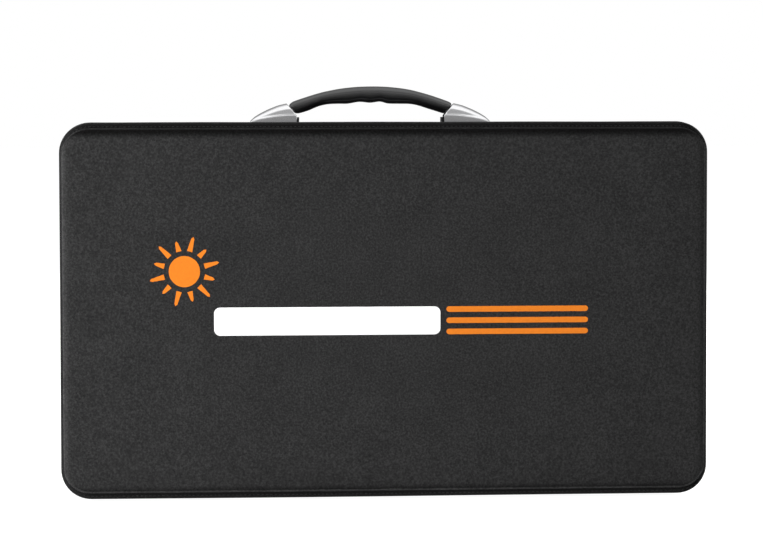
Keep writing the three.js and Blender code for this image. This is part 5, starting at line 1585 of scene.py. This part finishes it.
# ------------------------------------------------------------------ wire stand
def bail():
    sx, y, zp, zf, r = 180.0, 46.5, 310.0, 60.0, 8.0
    corners = [(-sx - 15, zp), (-sx, zp), (-sx, zf), (sx, zf), (sx, zp), (sx + 15, zp)]
    pts = [corners[0]]
    for a, b, c in zip(corners, corners[1:], corners[2:]):
        a, b, c = map(np.array, (a, b, c))
        u, v = (a - b) / np.linalg.norm(a - b), (c - b) / np.linalg.norm(c - b)
        ctr = b + (u + v) * r
        p0, p1 = b + u * r, b + v * r
        a0 = math.atan2(*(p0 - ctr)[::-1])
        a1 = math.atan2(*(p1 - ctr)[::-1])
        d = (a1 - a0 + math.pi) % (2 * math.pi) - math.pi
        pts += [tuple(ctr + r * np.array([math.cos(a0 + d * t), math.sin(a0 + d * t)])) for t in np.linspace(0, 1, 10)]
    pts.append(corners[-1])
    # short chamfers on the sawn ends
    x0, x1 = pts[0][0], pts[-1][0]
    path = [(x0, zp), (x0 + 0.5, zp)] + pts[1:-1] + [(x1 - 0.5, zp), (x1, zp)]
    rad = [3.0] + [3.5] * (len(path) - 2) + [3.0]
    o = merge("stand_wire_bail", [tube_part([(x, y, z) for x, z in path], rad, 28)], "stand_steel")
    sharp(o, 40)
    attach(o, "stand")
    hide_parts("stand_bail")


bail()


# ------------------------------------------------------------- stand fixings
def rivets():
    parts = []

    def rivet(x, z, r=2.6, y=HALF_D + 2.7):
        P = []
        for k in range(6):
            t = k / 5 * math.pi / 2
            rr = r * math.cos(t) + 0.02
            P.append([(x + rr * math.cos(a), y + 1.1 * math.sin(t) - 0.1, z + rr * math.sin(a)) for a in np.linspace(0, 2 * math.pi, 18, endpoint=False)])
        P.insert(0, [(x + r * math.cos(a), y - 0.6, z + r * math.sin(a)) for a in np.linspace(0, 2 * math.pi, 18, endpoint=False)])
        V = np.concatenate([np.array(p) for p in P])
        F = [(k * 18 + q, k * 18 + (q + 1) % 18, (k + 1) * 18 + (q + 1) % 18, (k + 1) * 18 + q) for k in range(6) for q in range(18)] + [tuple(range(18))[::-1], tuple(range(108, 126))]
        parts.append((V, F))

    for n in ("stand_bracket_left", "stand_bracket_right"):
        a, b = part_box(n)
        s = -1 if "left" in n else 1
        xm = (a.x + b.x) / 2 / MM + s * 1.5
        for z in (a.z / MM + 6.5, b.z / MM - 6.5):
            rivet(xm, z)
    a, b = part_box("stand_clip")
    for z in (a.z / MM + 4.8, b.z / MM - 4.8):
        for x in (-6, 6):
            rivet(x, z, 1.9, HALF_D + 2.3)
    o = merge("stand_rivets", parts, "steel")
    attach(o, "back_half")


rivets()


# --------------------------------------------- finishes of the CAD's own parts
FINISH = {
    "_liner": "liner_fabric", "_spine": "zip_tape", "_zip_tape": "zip_tape", "zip_slider": "zip_metal", "zip_pull": "zip_metal",
    "handle_cap": "cap_metal", "handle_grip": "grip_plastic", "handle_base": "base_plastic", "handle_plate": "plate_steel", "handle_screw": "steel",
    "_frame_top": "frame_aluminium", "_frame_bottom": "frame_aluminium", "_frame_left": "frame_aluminium_up", "_frame_right": "frame_aluminium_up",
    "_glass": "module_glass", "_cells": "backsheet", "_junction_box": "jbox_plastic", "_junction_lid": "jbox_plastic",
    "controller_base": "controller_dark", "controller_cover": "controller_plastic", "controller_display": "display",
    "controller_button": "button_rubber", "controller_terminals": "terminal_plastic", "stand_foot": "foot_rubber", "stand_b": "stand_steel",
    "stand_clip": "stand_steel", "net_pocket": "net", "_pin": "steel", "_spring": "steel", "clamp_red": "clamp_red", "clamp_black": "clamp_black",
    "charge_cable": "cable_rubber", "cable_plug": "cable_rubber", "_shell": "case_fabric",
}
BEVEL = {"controller_base": 1.6, "controller_cover": 1.8, "controller_button": 1.0, "controller_terminals": 0.5, "controller_display": 0.2,
         "_frame_": 0.25, "_junction_box": 1.0, "_junction_lid": 0.8, "handle_base": 0.5, "handle_plate": 0.4, "handle_screw": 0.25,
         "zip_slider": 0.45, "zip_pull": 0.4, "stand_foot": 0.6, "stand_bracket": 0.6, "stand_clip": 0.3,
         "clamp_red_upper": 1.3, "clamp_red_lower": 1.3, "clamp_black_upper": 1.3, "clamp_black_lower": 1.3, "_pin": 0.4, "cable_plug": 0.8}
for node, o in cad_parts.items():
    key = next((v for k, v in sorted(FINISH.items(), key=lambda kv: -len(kv[0])) if k in node), "jbox_plastic")
    if node.endswith("_pin") or node.endswith("_spring"):
        key = "steel"
    o.data.materials.clear()
    o.data.materials.append(MATS[key])
    for s in o.material_slots:
        s.material = MATS[key]
    if o.hide_render:
        continue
    w = next((v for k, v in BEVEL.items() if k in node), None)
    if w:
        b = o.modifiers.new("edges", "BEVEL")
        b.width = w * MM
        b.segments = 3
        b.limit_method = "ANGLE"
        b.angle_limit = math.radians(40)
        b.use_clamp_overlap = True


# ----------------------------------------------------------- floor and light
def stage_floor():
    me = bpy.data.meshes.new("stage_floor")
    me.from_pydata([(-30, -30, 0), (30, -30, 0), (30, 30, 0), (-30, 30, 0)], [], [(0, 1, 2, 3)])
    o = bpy.data.objects.new("stage_floor", me)
    bpy.context.scene.collection.objects.link(o)
    M = Mat("stage")
    lp = M.n("ShaderNodeLightPath")
    d = M.n("ShaderNodeBsdfDiffuse")
    d.inputs["Color"].default_value = (0.42, 0.42, 0.42, 1)
    e = M.n("ShaderNodeEmission")
    e.inputs["Color"].default_value = (1, 1, 1, 1)
    # whiter far off, so that the floor meets the backdrop without a line
    dist = M.n("ShaderNodeVectorMath", operation="LENGTH")
    M.link(M.co, dist.inputs[0])
    M.link(M.ramp(M.math("MULTIPLY", dist.outputs["Value"], 0.25), [(0.2, 0.93), (0.6, 1.0)]), e.inputs["Strength"])
    add = M.n("ShaderNodeAddShader")
    M.link(d.outputs[0], add.inputs[0])
    M.link(e.outputs[0], add.inputs[1])
    d2 = M.n("ShaderNodeBsdfDiffuse")
    d2.inputs["Color"].default_value = (0.16, 0.16, 0.16, 1)
    e2 = M.n("ShaderNodeEmission")
    e2.inputs["Color"].default_value = (1, 1, 1, 1)
    e2.inputs["Strength"].default_value = 0.05
    mg = M.n("ShaderNodeMixShader")
    M.link(lp.outputs["Is Glossy Ray"], mg.inputs[0])
    M.link(d2.outputs[0], mg.inputs[1])
    M.link(e2.outputs[0], mg.inputs[2])
    mix = M.n("ShaderNodeMixShader")
    M.link(lp.outputs["Is Camera Ray"], mix.inputs[0])
    M.link(mg.outputs[0], mix.inputs[1])
    M.link(add.outputs[0], mix.inputs[2])
    M.link(mix.outputs[0], M.out.inputs[0])
    me.materials.append(M.m)
    return o


floor = stage_floor()

# The lid folds down past the case's own footing when it opens, so the floor
# rests under the lowest of these marks, which ride on the lid.
marks = []
for i, (y, z) in enumerate(((-HALF_D, 0.0), (-HALF_D, CASE_H), (0.0, CASE_H))):
    m = bpy.data.objects.new(f"floor_mark_{i}", None)
    bpy.context.scene.collection.objects.link(m)
    m.location = (0, YM + y * MM, z * MM)
    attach(m, "lid_half")
    marks.append(m)
drv = floor.driver_add("location", 2).driver
drv.type = "SCRIPTED"
names = []
for i, m in enumerate(marks):
    v = drv.variables.new()
    v.name = f"m{i}"
    v.type = "TRANSFORMS"
    v.targets[0].id = m
    v.targets[0].transform_type = "LOC_Z"
    v.targets[0].transform_space = "WORLD_SPACE"
    names.append(v.name)
drv.expression = f"min(0, {', '.join(names)}) - 0.0016"


def area(name, loc, target, size, power, color=(1, 1, 1), size_y=None):
    l = bpy.data.lights.new(name, "AREA")
    l.energy = power
    l.color = color
    l.shape = "RECTANGLE"
    l.size = size
    l.size_y = size_y or size
    o = bpy.data.objects.new(name, l)
    bpy.context.scene.collection.objects.link(o)
    o.location = loc
    o.rotation_euler = (Vector(target) - Vector(loc)).to_track_quat("-Z", "Y").to_euler()
    return o


def soft(o):
    """Soft boxes light the object but don't show as shapes in its metal."""
    o.visible_glossy = False
    return o


C = (0, YM, 0.19)
soft(area("key_left", (-2.25, -1.75, 0.14), (-0.1, YM, 0.19), 0.9, 178, size_y=0.5))
soft(area("fill_front", (0.3, -3.2, 0.12), C, 2.0, 14, size_y=0.5))
soft(area("back_left", (1.9, 2.4, 1.1), C, 1.4, 80))
soft(area("back_right", (-1.6, 2.8, 0.5), C, 1.4, 32))
soft(area("side_fill", (2.7, 1.3, 0.6), C, 1.2, 105))
soft(area("side_fill_left", (-2.7, 1.5, 0.6), C, 1.2, 75))

world = bpy.data.worlds.new("studio")
bpy.context.scene.world = world
world.use_nodes = True
wt = world.node_tree
wt.nodes.clear()
wout = wt.nodes.new("ShaderNodeOutputWorld")
tc = wt.nodes.new("ShaderNodeTexCoord")
sep = wt.nodes.new("ShaderNodeSeparateXYZ")
wt.links.new(tc.outputs["Generated"], sep.inputs[0])


def wmath(op, a, b=0.0):
    m = wt.nodes.new("ShaderNodeMath")
    m.operation = op
    for k, v in enumerate((a, b)):
        if isinstance(v, (int, float)):
            m.inputs[k].default_value = v
        else:
            wt.links.new(v, m.inputs[k])
    return m.outputs[0]


# what metal and glass mirror: strips of light by their angle over the object, 0 at the front horizon, 0.5 overhead, 1 at the back horizon
over = wmath("DIVIDE", wmath("ARCTAN2", wmath("MAXIMUM", sep.outputs[2], 0.0), wmath("MULTIPLY", sep.outputs[1], -1.0)), math.pi)
grad = wt.nodes.new("ShaderNodeValToRGB")
STRIPS = [(0.0, 0.30), (0.05, 0.34), (0.085, 1.25), (0.13, 1.3), (0.165, 0.42), (0.25, 0.5), (0.31, 1.35), (0.55, 1.3), (0.72, 0.5), (0.93, 0.12), (1.0, 0.30)]
set_ramp(grad.color_ramp, STRIPS)
wt.links.new(over, grad.inputs["Fac"])
bg_glossy = wt.nodes.new("ShaderNodeBackground")
wt.links.new(grad.outputs["Color"], bg_glossy.inputs["Color"])
bg_glossy.inputs["Strength"].default_value = 1.0
bg_diffuse = wt.nodes.new("ShaderNodeBackground")
bg_diffuse.inputs["Color"].default_value = (0.5, 0.5, 0.5, 1)
bg_diffuse.inputs["Strength"].default_value = 0.22
bg_camera = wt.nodes.new("ShaderNodeBackground")
bg_camera.inputs["Color"].default_value = (1, 1, 1, 1)
lp = wt.nodes.new("ShaderNodeLightPath")
m1 = wt.nodes.new("ShaderNodeMixShader")
m2 = wt.nodes.new("ShaderNodeMixShader")
wt.links.new(lp.outputs["Is Glossy Ray"], m1.inputs[0])
wt.links.new(bg_diffuse.outputs[0], m1.inputs[1])
wt.links.new(bg_glossy.outputs[0], m1.inputs[2])
wt.links.new(lp.outputs["Is Camera Ray"], m2.inputs[0])
wt.links.new(m1.outputs[0], m2.inputs[1])
wt.links.new(bg_camera.outputs[0], m2.inputs[2])
wt.links.new(m2.outputs[0], wout.inputs[0])

# -------------------------------------------------------------------- camera
PSI, ELEV, DIST, SCALE, ROLL = 2.91, 4.0, 2.262, 0.9875, -0.114
aim = Vector((-0.0026, YM, 0.2177))
p, e = math.radians(PSI), math.radians(ELEV)
away = Vector((-math.sin(p) * math.cos(e), -math.cos(p) * math.cos(e), math.sin(e)))
cam = bpy.data.cameras.new("camera")
cam.sensor_fit = "HORIZONTAL"
cam.sensor_width = 36.0
cam.lens = SCALE * DIST * 1000 * 36.0 / 763
cam.clip_end = 50
co = bpy.data.objects.new("camera", cam)
bpy.context.scene.collection.objects.link(co)
co.location = aim + away * DIST
q = (-away).to_track_quat("-Z", "Y")
co.rotation_mode = "QUATERNION"
from mathutils import Quaternion
co.rotation_quaternion = q @ Quaternion((0, 0, 1), math.radians(ROLL))
bpy.context.scene.camera = co
vs = bpy.context.scene.view_settings
vs.view_transform = "Standard"
vs.look = "None"

bpy.context.view_layer.update()
